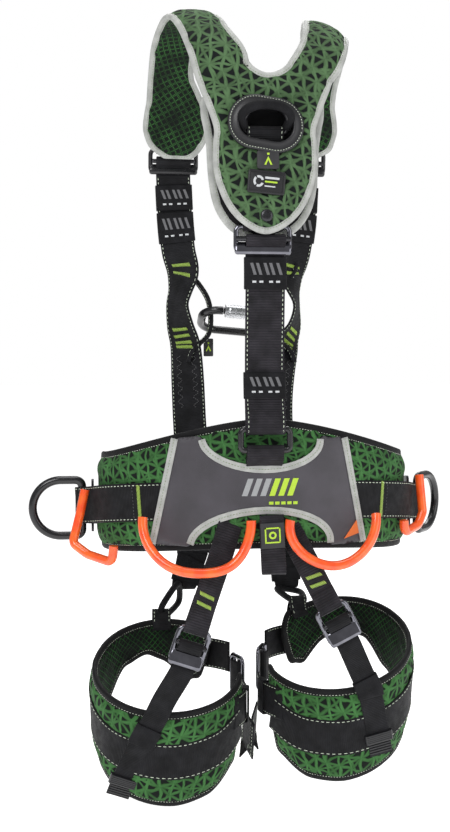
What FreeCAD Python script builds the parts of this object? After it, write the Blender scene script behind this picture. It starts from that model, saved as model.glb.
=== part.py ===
import FreeCAD, Part
# Full-body tree climbing saddle: shoulder yoke, waist belt and two leg loops, with their hardware.
# Millimetres. Origin: centre of the waist opening. The wearer faces +Y, their right hand is at +X, +Z is up.
import math
import os

V = FreeCAD.Vector
UP = V(0, 0, 1)
RIGHT = V(1, 0, 0)
FRONT = V(0, 1, 0)
LEFT_SIDE, RIGHT_SIDE = -1, 1

# ---------------------------------------------------------------- driving dimensions
WEB, WEB_T = 45.0, 2.4             # main webbing
LEG_WEB = 28.0                     # adjustable leg strap's width
KEEPER_T = 1.2                     # elastic keeper's wall
RUN = 0.4                          # clearance between a ring and the webbing folded round it
GAP = 0.3                          # clearance between layers

BELT_A, BELT_B, BELT_T = 185.0, 123.0, 14.0   # belt pad: half axes of its middle surface, and thickness
BELT_END = 118.0                   # degrees from the back where the pad ends
BELT_TOP, BELT_TOP_DROP = 88.0, 46.0
BELT_BOTTOM, BELT_BOTTOM_DROP = -60.0, 14.0
BELT_OUT = BELT_B + BELT_T / 2     # pad's outer face at the back
LINE_SIDE, LINE_TILT = -24.0, 0.155   # height of the belt webbing at the sides, and its fall to the front

PANEL_X, PANEL_T = -5.5, 3.0
PANEL_TOP, PANEL_BOTTOM = 66.0, -57.0
PANEL_HALF_TOP, PANEL_HALF_BOTTOM = 103.0, 128.0

RING_BAR_X, RING_BOW_X, RING_Z = 212.0, 238.0, -27.0
RING_R, RING_WIRE = 34.5, 5.2      # side ring's bow and wire
RIGHT_RING_SWING = 52.0            # the right side ring hangs swung forward

YOKE_X = -4.0
YOKE_T = 14.0
YOKE_LOW, YOKE_HIGH = V(YOKE_X, -151, 298), V(YOKE_X, -137, 474)
OPENING_Z, OPENING_W, OPENING_H, TRIM = 418.0, 66.0, 42.0, 9.0
OPENING_TILT = -7.0

BACK_X = -3.0
BACK_BUCKLE = V(-6, -139.6, 292.0)
WAIST_RING_Z, WAIST_RING_Y, WAIST_WIRE = 66.0, -143.5, 3.6
WAIST_RING_W, WAIST_RING_H = 56.0, 24.0
VENTRAL_Y, VENTRAL_W, VENTRAL_H, VENTRAL_WIRE = 138.0, 50.0, 70.0, 4.5
GEAR_R = 5.5

KARABINER = V(0, 121, 206)
KARABINER_LENGTH, KARABINER_WIDTH, KARABINER_WIRE = 106.0, 60.0, 5.5
KARABINER_ROLL, KARABINER_DROOP = 24.0, -5.0

PIVOT_REAR_Z, PIVOT_FRONT_Z = -68.0, -108.5   # where the leg loops swing from
PAD_T = 11.0                       # leg and shoulder padding

nodes = {}


def keep(name, *solids):
    nodes.setdefault(name, []).extend(solids)


# ---------------------------------------------------------------- geometry helpers
def unit(v):
    return V(v).normalize()


def turn(deg):
    """Unit vector in the XY plane, deg from +X."""
    return V(math.cos(math.radians(deg)), math.sin(math.radians(deg)), 0)


def curve(points, steps=2):
    """Catmull-Rom line through tuples of any length."""
    out = []
    last = len(points) - 1
    for i in range(last):
        near = [points[min(max(i + k, 0), last)] for k in (-1, 0, 1, 2)]
        for k in range(steps):
            t = k / steps
            out.append(tuple(
                b + t / 2 * (c - a + t * (2 * a - 5 * b + 4 * c - d + t * (3 * b - a - 3 * c + d)))
                for a, b, c, d in zip(*near)))
    return out + [tuple(points[last])]


def arc(centre, r, start, end, n=6):
    """n + 1 points of a plane arc, angles in degrees."""
    angles = [math.radians(start + (end - start) * k / n) for k in range(n + 1)]
    return [(centre[0] + r * math.cos(a), centre[1] + r * math.sin(a)) for a in angles]


def tangents(points):
    last = len(points) - 1
    return [unit(points[min(i + 1, last)] - points[max(i - 1, 0)]) for i in range(last + 1)]


def per_point(value, n):
    return value if isinstance(value, list) else [value] * n


def ribbon(points, across, width, thickness):
    """Strap lofted along points. across and width are one value, or one for each point."""
    points = [V(*p) for p in points]
    n = len(points)
    sections = []
    for p, t, a, w in zip(points, tangents(points), per_point(across, n), per_point(width, n)):
        normal = unit(t.cross(V(a)))
        side = unit(normal.cross(t)) * (w / 2)
        rise = normal * (thickness / 2)
        corners = [p - side - rise, p + side - rise, p + side + rise, p - side + rise, p - side - rise]
        sections.append(Part.makePolygon(corners))
    solid = Part.makeLoft(sections, True, True)
    if solid.Volume < 0:
        solid.reverse()
    return solid


def upright_ribbon(plan, height_at, width, thickness):
    """Strap that stands on edge along a plan line, at a height that depends on Y."""
    return ribbon([(x, y, height_at(y)) for x, y in plan], UP, width, thickness)


def back_ribbon(x, profile, width, thickness):
    """Strap in the plane X = x, from (y, z) points."""
    return ribbon([(x, y, z) for y, z in profile], RIGHT, width, thickness)


def rounded_wire(points, radius, closed):
    """Straight lines through points, each corner rounded by a tangent arc."""
    n = len(points)
    radius = per_point(radius, n)
    parts, ends = {}, []
    for i, p in enumerate(points):
        if not closed and i in (0, n - 1):
            ends.append((p, p))
            continue
        a, b = unit(points[i - 1] - p), unit(points[(i + 1) % n] - p)
        half = a.getAngle(b) / 2
        cut = radius[i] / math.tan(half)
        centre = p + unit(a + b) * (radius[i] / math.sin(half))
        ends.append((p + a * cut, p + b * cut))
        parts[i] = Part.Arc(ends[i][0], centre + unit(p - centre) * radius[i], ends[i][1]).toShape()
    path = []
    for i in range(n):
        if i in parts:
            path.append(parts[i])
        j = (i + 1) % n
        if (closed or i < n - 1) and (ends[j][0] - ends[i][1]).Length > 1e-6:
            path.append(Part.LineSegment(ends[i][1], ends[j][0]).toShape())
    return Part.Wire(path)


def rod(points, bend, r, closed=False):
    """Round bar along a rounded path."""
    wire = rounded_wire(points, bend, closed)
    first = wire.Edges[0]
    start = first.FirstParameter
    profile = Part.Wire([Part.makeCircle(r, first.valueAt(start), first.tangentAt(start))])
    return wire.makePipeShell([profile], True, True)


def spline(points):
    c = Part.BSplineCurve()
    c.interpolate(points)
    return c.toShape()


def hose(points, r):
    """Round tube along a smooth curve."""
    path = spline(points)
    start = path.FirstParameter
    profile = Part.Wire([Part.makeCircle(r, path.valueAt(start), path.tangentAt(start))])
    return Part.Wire([path]).makePipeShell([profile], True, True)


def prism(outline, normal, depth):
    """Outline pushed half of depth each way along normal."""
    face = Part.Face(outline)
    face.translate(unit(normal) * (-depth / 2))
    return face.extrude(unit(normal) * depth)


def plate(outline, normal, thickness, hole=None):
    solid = prism(outline, normal, thickness)
    return solid.cut(prism(hole, normal, thickness * 3)) if hole else solid


def axes(origin, x_dir, y_dir):
    """Placement with its X and Y along two directions."""
    x, z = unit(x_dir), unit(x_dir.cross(y_dir))
    y = z.cross(x)
    c = V(origin)
    rows = [(x.x, y.x, z.x, c.x), (x.y, y.y, z.y, c.y), (x.z, y.z, z.z, c.z), (0, 0, 0, 1)]
    return FreeCAD.Placement(FreeCAD.Matrix(*[value for row in rows for value in row]))


def placed(shape, origin, x_dir, y_dir):
    out = shape.copy()
    out.Placement = axes(origin, x_dir, y_dir).multiply(out.Placement)
    return out


def on_side(shape, side):
    """A shape modelled on the wearer's left, or its mirror image."""
    return shape if side == LEFT_SIDE else shape.mirror(V(0, 0, 0), RIGHT)


def rounded_rectangle(w, h, r):
    corners = [V(-w / 2, -h / 2, 0), V(w / 2, -h / 2, 0), V(w / 2, h / 2, 0), V(-w / 2, h / 2, 0)]
    return rounded_wire(corners, r, True)


def block(w, h, t, corner=2.0):
    return prism(rounded_rectangle(w, h, corner), UP, t)


def sleeve(points, width, core):
    """Elastic keeper: a flat tube round a strap of that width and thickness."""
    outer = ribbon(points, RIGHT, width + 2 * KEEPER_T, core + 2 * KEEPER_T)
    return outer.cut(ribbon(points, RIGHT, width, core))


# ---------------------------------------------------------------- webbing adjuster
RAIL, LIP = 6.0, 11.0


def adjuster_frame(w, h, t=3.6):
    """Frame with a window and a folded lower lip. X across, Y up along the webbing, Z outward."""
    window = rounded_rectangle(w - 2 * RAIL, h - RAIL - LIP, 3.0)
    window.translate(V(0, (LIP - RAIL) / 2, 0))
    frame = plate(rounded_rectangle(w, h, RAIL + 1), UP, t, window)
    fold = w - 2 * RAIL - 4
    return frame.fuse(Part.makeCylinder(3.2, fold, V(-fold / 2, -h / 2 + 3.6, t / 2), RIGHT))


def adjuster_bar(w, r):
    """Sliding bar that lies across the frame's rails."""
    return Part.makeCylinder(r, w - 4, V(2 - w / 2, 0, 0), RIGHT)


# ---------------------------------------------------------------- waist belt
def around(deg, a, b):
    """Point of a plan ellipse, deg from the back towards the wearer's left."""
    r = math.radians(deg)
    return -a * math.sin(r), -b * math.cos(r)


def belt_edges(deg):
    """Heights of the pad's top and bottom edges."""
    s = math.sin(math.radians(min(abs(deg), 90.0)))
    top = BELT_TOP - BELT_TOP_DROP * s ** 1.5
    bottom = BELT_BOTTOM - BELT_BOTTOM_DROP * s ** 2
    past = max(0.0, (abs(deg) - 90) / (BELT_END - 90))
    return top - 14 * past - 22 * past ** 4, bottom - 3 * past + 14 * past ** 4


def belt_line(y):
    return LINE_SIDE - LINE_TILT * y


def belt_pad():
    points, widths = [], []
    steps = 32
    for k in range(steps + 1):
        deg = BELT_END * (2 * k / steps - 1)
        top, bottom = belt_edges(deg)
        points.append((*around(deg, BELT_A, BELT_B), (top + bottom) / 2))
        widths.append(top - bottom)
    keep("belt_pad", ribbon(points, UP, widths, BELT_T))


def back_panel():
    """Smooth overlay on the back of the pad, its top and bottom edges scooped out."""
    rise = BELT_T / 2 + 1.0 + PANEL_T / 2
    plan = [(*around(5 * k - 60, BELT_A + rise, BELT_B + rise), 0) for k in range(25)]
    shell = ribbon(plan, UP, 260, PANEL_T)
    scoop_top, scoop_bottom = 70.0, 83.0
    top, bottom = PANEL_TOP + 6, PANEL_BOTTOM - 4

    def at(x, z):
        return V(PANEL_X + x, 0, z)

    corners = [at(-PANEL_HALF_BOTTOM, PANEL_BOTTOM), at(-PANEL_HALF_TOP, PANEL_TOP), at(-scoop_top, top),
               at(scoop_top, top), at(PANEL_HALF_TOP, PANEL_TOP), at(PANEL_HALF_BOTTOM, PANEL_BOTTOM),
               at(scoop_bottom, bottom), at(-scoop_bottom, bottom)]
    edges = [Part.LineSegment(corners[i], corners[(i + 1) % 8]).toShape() for i in (0, 1, 3, 4, 5, 7)]
    edges.insert(2, Part.Arc(corners[2], at(4, 36), corners[3]).toShape())
    edges.insert(6, Part.Arc(corners[6], at(6, -20), corners[7]).toShape())
    keep("belt_back_panel", shell.common(Part.Face(Part.Wire(edges)).extrude(FRONT * -220)))


BRACKET_X, BRACKET_Y, BRACKET_W, BRACKET_BAR = -199.0, 4.0, 25.0, 5.0


def side_webbing(side):
    """Belt webbing from under the panel, round the side ring's bar, through the bracket and back inside."""
    a, b = BELT_A + BELT_T / 2 + 9.0, BELT_OUT + 8.0
    wrap = RING_WIRE + 2 * RUN + WEB_T / 2
    outer = [around(deg, a, b) for deg in (47, 54, 61, 68, 75)] + [(-205, -14)]
    fold = arc((-RING_BAR_X, 0), wrap, 215, 20, 8)
    inner = [(-200, 1.6), (-195.2, -2.5)] + [around(deg, a - 5.8, b - 4.6) for deg in (84, 76, 68, 61)]
    keep("belt_side_webbing", on_side(upright_ribbon(outer + fold + inner, belt_line, WEB, WEB_T), side))


def hip_bracket(side):
    """Slotted frame behind the side ring that joins the back webbing to the front webbing."""
    window = rounded_rectangle(BRACKET_W - 2 * BRACKET_BAR, WEB + 4, 2.0)
    frame = plate(rounded_rectangle(BRACKET_W, WEB + 20, 5.0), UP, 3.0, window)
    origin = V(BRACKET_X, BRACKET_Y, belt_line(BRACKET_Y))
    keep("hip_brackets", on_side(placed(frame, origin, V(0, 1, -LINE_TILT), UP), side))


FRONT_A, FRONT_B = 203.0, 138.0    # plan ellipse of the front webbing
ADJUSTER_DEG = 143.0


def front_webbing(side):
    """Hip bracket to adjuster, then adjuster to ventral ring."""
    bar_y = BRACKET_Y + (BRACKET_W - BRACKET_BAR) / 2
    wrap = BRACKET_BAR / 2 + 1.0 + WEB_T / 2
    first = [(BRACKET_X + wrap, bar_y + 14)] + arc((BRACKET_X, bar_y), wrap, 0, -180)
    first += [around(deg, FRONT_A, FRONT_B) for deg in (106, 116, 126, ADJUSTER_DEG - 7.4)]
    ring_x = -VENTRAL_W / 2
    wrap = VENTRAL_WIRE + RUN + WEB_T / 2
    second = [around(deg, FRONT_A, FRONT_B) for deg in (ADJUSTER_DEG + 7.4, 157, 163)]
    second += [(ring_x - 9, VENTRAL_Y - wrap)] + arc((ring_x, VENTRAL_Y), wrap, 270, 450)
    second += [(ring_x - 9, VENTRAL_Y + wrap), (ring_x - 27, VENTRAL_Y + 3.4)]
    for plan in (first, second):
        keep("belt_front_webbing", on_side(upright_ribbon(plan, belt_line, WEB, WEB_T), side))


def belt_adjuster(side):
    x, y = around(ADJUSTER_DEG, FRONT_A, FRONT_B)
    x2, y2 = around(ADJUSTER_DEG + 1, FRONT_A, FRONT_B)
    frame = placed(adjuster_frame(WEB + 16, 40), V(x, y, belt_line(y)), UP, V(x - x2, y - y2, 0))
    keep("belt_adjusters", on_side(frame, side))


def upright_rectangle(x, y, z, w, h):
    return [V(x + a * w / 2, y, z + b * h / 2) for a, b in ((-1, -1), (1, -1), (1, 1), (-1, 1))]


def ventral_ring():
    corners = upright_rectangle(0, VENTRAL_Y, belt_line(VENTRAL_Y), VENTRAL_W, VENTRAL_H)
    keep("ventral_ring", rod(corners, 10.0, VENTRAL_WIRE, True))


def side_ring(side):
    """Forged D: a half circle with straight arms to its bar."""
    far = -RING_BOW_X - RING_R
    low, high = RING_Z - RING_R, RING_Z + RING_R
    bow = RING_R - 0.01
    corners = [V(-RING_BAR_X, 0, low), V(-RING_BAR_X, 0, high), V(far, 0, high), V(far, 0, low)]
    ring = rod(corners, [8.0, 8.0, bow, bow], RING_WIRE, True)
    if side == RIGHT_SIDE:
        ring.rotate(V(-RING_BAR_X, 0, 0), UP, -RIGHT_RING_SWING)
    keep("left_side_ring" if side == LEFT_SIDE else "right_side_ring", on_side(ring, side))


def waist_tab():
    """Webbing tab on the belt that holds the waist ring."""
    face = -BELT_OUT - 1.0 - PANEL_T - GAP - WEB_T / 2
    bar_z = WAIST_RING_Z - WAIST_RING_H / 2
    wrap = WAIST_WIRE + RUN + WEB_T / 2
    profile = [(face, 28), (face, 38)] + arc((WAIST_RING_Y, bar_z), wrap, -20, 200, 8)
    profile += [(WAIST_RING_Y - 4.4, 40), (WAIST_RING_Y + 1.0, 31)]
    keep("waist_tab", back_ribbon(BACK_X, profile, WEB - 3, WEB_T))


def restraint_loop():
    """Flat webbing loop that hangs below the panel."""
    y, low, half = -BELT_OUT - 9.5, -85.0, 3.0
    profile = [(y - half, -24), (y - half, -55)] + arc((y, low), half, 180, 360)
    profile += [(y + half, -55), (y + half, -30)]
    keep("restraint_loop", ribbon([(4.5 - 0.05 * (z + 24), yy, z) for yy, z in profile], RIGHT, 28, WEB_T))


def waist_ring():
    corners = upright_rectangle(BACK_X, WAIST_RING_Y, WAIST_RING_Z, WAIST_RING_W, WAIST_RING_H)
    keep("waist_ring", rod(corners, 5.0, WAIST_WIRE, True))


# ---------------------------------------------------------------- gear loops
def gear_loops():
    keep("left_rear_gear_loop", hose(
        [V(-141, -116, -24), V(-135, -128, -55), V(-112, -143, -77), V(-75, -150, -84), V(-42, -149, -76),
         V(-24, -145, -52), V(-19, -142, -26)], GEAR_R))
    keep("right_rear_gear_loop", hose(
        [V(26, -142, -26), V(30, -145, -52), V(48, -149, -70), V(78, -150, -78), V(106, -143, -68),
         V(126, -130, -45), V(131, -119, -24)], GEAR_R))
    side_bends = [0, 30, 8, 20, 8, 0]
    keep("left_side_gear_loop", rod(
        [V(-208, -24, -2), V(-214, -28, -30), V(-223, -32, -66), V(-205, -44, -78), V(-176, -70, -84),
         V(-174, -71, -64)], side_bends, GEAR_R))
    keep("right_side_gear_loop", rod(
        [V(208, -25, 12), V(209, -28, -6), V(211, -32, -34), V(202, -44, -48), V(178, -70, -54),
         V(177, -71, -38.5)], side_bends, GEAR_R))


# ---------------------------------------------------------------- shoulder yoke
YOKE_UP = unit(YOKE_HIGH - YOKE_LOW)
YOKE_OUT = unit(YOKE_UP.cross(RIGHT)) * (-1 if YOKE_UP.cross(RIGHT).y > 0 else 1)
YOKE_FACE = YOKE_T / 2 + GAP


def yoke_at(x, z, out=0.0):
    """Point at a height on the yoke's middle plane, moved outward."""
    return YOKE_LOW + RIGHT * x + YOKE_UP * ((z - YOKE_LOW.z) / YOKE_UP.z) + YOKE_OUT * out


def oval(w, h, out):
    wire = rounded_rectangle(w, h, h / 2 - 0.01)
    wire.rotate(V(0, 0, 0), UP, OPENING_TILT)
    return placed(wire, yoke_at(0, OPENING_Z, out), RIGHT, YOKE_UP)


def yoke():
    """Cover pad with its oval opening, and the softer pad behind it."""
    half = [(0, 298), (18, 304), (37, 320), (50, 343), (57, 370), (57, 398), (56, 414), (63, 436), (71, 456),
            (77, 470)]
    neck = [(77, 470), (34, 487)]
    sides = [spline([yoke_at(s * x, z) for x, z in half]) for s in (1, -1)]
    cuts = [Part.LineSegment(*[yoke_at(s * x, z) for x, z in neck]).toShape() for s in (1, -1)]
    notch = Part.Arc(yoke_at(34, 487), yoke_at(0, 476), yoke_at(-34, 487)).toShape()
    cover = prism(Part.Wire([sides[0], cuts[0], notch, cuts[1], sides[1]]), YOKE_OUT, YOKE_T)
    keep("yoke_cover_pad", cover.cut(prism(oval(OPENING_W, OPENING_H, 0), YOKE_OUT, 60)))

    behind = -YOKE_T - 5
    half = [(0, 292), (22, 296), (44, 312), (58, 342), (63, 400), (60, 462)]
    sides = [spline([yoke_at(s * x, z, behind) for x, z in half]) for s in (1, -1)]
    top = Part.LineSegment(yoke_at(60, 462, behind), yoke_at(-60, 462, behind)).toShape()
    keep("yoke_back_pad", prism(Part.Wire([sides[0], top, sides[1]]), YOKE_OUT, 10.0))


def yoke_details():
    trim_t = 2.8
    out = YOKE_FACE + trim_t / 2
    rim = oval(OPENING_W + 2 * TRIM, OPENING_H + 2 * TRIM - 2, out)
    keep("dorsal_opening_trim", plate(rim, YOKE_OUT, trim_t, oval(OPENING_W - 2, OPENING_H - 2, out)))
    keep("rubber_badge", placed(block(42, 26, 3), yoke_at(0, 353, YOKE_FACE + 1.5), V(1, 0, -0.09), YOKE_UP))
    keep("snap_stud", Part.makeCylinder(6.5, 3.0, yoke_at(0, 316, YOKE_FACE), YOKE_OUT))
    keep("label_tabs", placed(block(25, 18, 1.6), yoke_at(2, 377, YOKE_FACE + 0.8), RIGHT, YOKE_UP))


# one row for each station: distance from the middle, Y, Z, width
SHOULDER = [(57, -137, 483, 47), (63, -130, 503, 50), (71, -107, 534, 54), (79, -62, 558, 56),
            (86, -12, 563, 56), (95, 34, 545, 54), (97, 63, 514, 56), (92, 78, 486, 72),
            (89, 84, 460, 84), (87, 87, 434, 74), (87, 88, 417, 44)]
DROOP, ROLL, INSET = 0.83, 20.0, 9.0   # the right shoulder hangs lower, rolls outward and sits closer in


def shoulder_pad(side):
    hangs = side == RIGHT_SIDE
    stations = []
    for x, y, z, w in SHOULDER:
        lift = max(0.0, (z - 483) / 80)
        front = min(1.0, max(0.0, (y - 20) / 50))
        top = 483 + 80 * lift * DROOP if hangs and lift else z
        stations.append((side * (x - INSET * front * hangs), y, top, w, ROLL * lift * hangs))
    stations = curve(stations)
    points = [V(*s[:3]) for s in stations]
    across = []
    for (x, y, z, w, roll), t in zip(stations, tangents(points)):
        flat = unit(V(0, y + 20, z - 470).cross(t))
        flat = flat * -1 if flat.x < 0 else flat
        across.append(FreeCAD.Rotation(t, roll).multVec(flat))
    across[0] = V(43, 0, -17 * side)
    name = "left_shoulder_pad" if side == LEFT_SIDE else "right_shoulder_pad"
    keep(name, ribbon([tuple(p) for p in points], across, [s[3] for s in stations], PAD_T))


DORSAL_BAR = V(YOKE_X, -141.0, 411.0)
DORSAL_LEAN, DORSAL_REACH, DORSAL_WIRE = 38.0, 34.0, 4.0


def dorsal_ring():
    """Ring that leans out through the oval opening, its bow wider than its bar."""
    bow = UP * math.cos(math.radians(DORSAL_LEAN)) - FRONT * math.sin(math.radians(DORSAL_LEAN))
    far = DORSAL_BAR + bow * DORSAL_REACH
    corners = [DORSAL_BAR - RIGHT * 24, DORSAL_BAR + RIGHT * 24, far + RIGHT * 28, far - RIGHT * 28]
    keep("dorsal_ring", rod(corners, [5, 5, 22, 22], DORSAL_WIRE, True))


def dorsal_webbing():
    """Webbing that folds round the dorsal ring's bar."""
    wrap = DORSAL_WIRE + RUN + WEB_T / 2
    y, z = DORSAL_BAR.y, DORSAL_BAR.z
    profile = [(-136.8, 345), (-134.4, 375), (-133.6, 395)] + arc((y, z), wrap, -15, 200, 8)
    profile.append((y - 3, z - 9.5))
    keep("dorsal_webbing", back_ribbon(YOKE_X, profile, 36, WEB_T))


def back_strap():
    """Strap from the yoke's adjuster to the waist ring, and the short strap above the adjuster."""
    bar = (WAIST_RING_Y, WAIST_RING_Z + WAIST_RING_H / 2)
    wrap = WAIST_WIRE + RUN + WEB_T / 2
    run = curve([(-141, 273), (-140, 250), (-137, 205), (-134, 150), (-138, 112), (-148.4, 90)])
    profile = run + arc(bar, wrap, 190, 380) + [(-137.6, 90), (-133.2, 112), (-130.6, 132)]
    keep("back_strap", back_ribbon(BACK_X, profile, WEB, WEB_T))
    keep("back_strap", back_ribbon(BACK_X, [(-137.0, 341), (-138.4, 326), (-139.2, 311)], WEB, WEB_T))
    upper, lower = [(-140.9, 271), (-140.2, 254), (-139.1, 236)], [(-134.3, 142), (-135.6, 124), (-140, 106)]
    for profile in (upper, lower):
        keep("back_strap_keepers", sleeve([(BACK_X, y, z) for y, z in profile], WEB + 1, WEB_T + 2.4))


def back_adjuster():
    w, bar_r = WEB + 21, 3.0
    keep("back_adjuster_frame", placed(adjuster_frame(w, 34), BACK_BUCKLE, RIGHT, UP))
    origin = BACK_BUCKLE - FRONT * (1.8 + bar_r + GAP)
    keep("back_adjuster_bar", placed(adjuster_bar(w, bar_r), origin, RIGHT, UP))


# ---------------------------------------------------------------- front straps
# X, Y, Z and how far the webbing is twisted about its length, in degrees
LEFT_STRAP = [(-92, 101, 396, 0), (-91, 102, 372, 0), (-89, 102, 335, 4), (-85, 106, 300, 10),
              (-79, 109, 274, 22), (-82, 112, 250, 48), (-86, 114, 228, 54), (-82, 115, 200, 42),
              (-75, 115, 172, 30), (-72, 117, 125, 16), (-70, 118, 80, 12), (-67, 116, 20, 8),
              (-66, 113, -40, 6), (-65, 110, -105, 4)]
RIGHT_STRAP = [(78, 101, 396, 0), (77, 102, 372, 0), (75, 102, 335, -4), (71, 106, 300, -10),
               (67, 109, 274, -26), (71, 112, 250, -58), (75, 114, 228, -72), (72, 115, 200, -58),
               (60, 115, 172, -30), (51, 117, 125, -14), (49, 118, 80, -10), (52, 116, 20, -8),
               (55, 113, -40, -6), (57, 110, -105, -4)]
SHOULDER_BUCKLE_X = {LEFT_SIDE: -92.0, RIGHT_SIDE: 78.0}


def point_at(stations, z):
    """Point of a falling strap at a height."""
    for (x0, y0, z0, _), (x1, y1, z1, _) in zip(stations, stations[1:]):
        if z0 >= z >= z1:
            t = (z0 - z) / (z0 - z1)
            return x0 + (x1 - x0) * t, y0 + (y1 - y0) * t, z
    raise ValueError("the strap doesn't reach that height")


def front_strap(side):
    """Strap from the shoulder adjuster past the chest loop and behind the belt to the hip."""
    left = side == LEFT_SIDE
    stations = curve(LEFT_STRAP if left else RIGHT_STRAP)
    points = [s[:3] for s in stations]
    across = [turn(-s[3]) for s in stations]
    keep("left_front_strap" if left else "right_front_strap", ribbon(points, across, WEB, WEB_T + 1.0))
    for top, bottom in ((386, 353), (349, 312)):
        run = [point_at(stations, z) for z in (top, (top + bottom) / 2, bottom)]
        keep("shoulder_strap_keepers", sleeve(run, WEB + 1, WEB_T + 3.0))


def shoulder_adjuster(side):
    origin = V(SHOULDER_BUCKLE_X[side], 99, 416)
    keep("shoulder_adjusters", placed(adjuster_frame(WEB + 20, 34), origin, RIGHT, V(0, -0.16, 1)))


def chest_loop(side):
    """Folded webbing eye sewn to the front strap, and its marker flag."""
    path = curve([(-72, 270), (-57, 256), (-45, 236), (-41, 212), (-44, 190), (-56, 177), (-65, 166)])
    keep("chest_loops", on_side(ribbon([(x, 116.5, z) for x, z in path], FRONT, 22, 4.0), side))
    keep("label_tabs", on_side(placed(block(13, 24, 1.2, 1), V(-44, 120, 172), RIGHT, UP), side))


# ---------------------------------------------------------------- karabiner
def karabiner():
    roll, droop = math.radians(KARABINER_ROLL), math.radians(KARABINER_DROOP)
    along = V(math.cos(droop), 0, math.sin(droop))
    across = V(0, -math.cos(roll), math.sin(roll))

    def at(p, q):
        return KARABINER + along * p + across * q

    end, gate_side = KARABINER_LENGTH / 2, KARABINER_WIDTH / 2
    nose, pin, corner = -27.0, 29.0, 22.0
    path = [at(nose, gate_side), at(-end, gate_side), at(-end, -gate_side), at(end, -gate_side),
            at(end, gate_side), at(pin + 1.5, gate_side)]
    keep("karabiner_body", rod(path, [0, corner, corner, corner, corner, 0], KARABINER_WIRE))
    gate_r = 4.6
    keep("karabiner_gate", Part.makeCylinder(gate_r, pin - nose - 2, at(nose + 1, gate_side), along))
    barrel = Part.makeCylinder(9.0, 42, at(nose + 3, gate_side), along)
    keep("karabiner_sleeve", barrel.cut(Part.makeCylinder(gate_r + RUN, 44, at(nose + 2, gate_side), along)))


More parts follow.
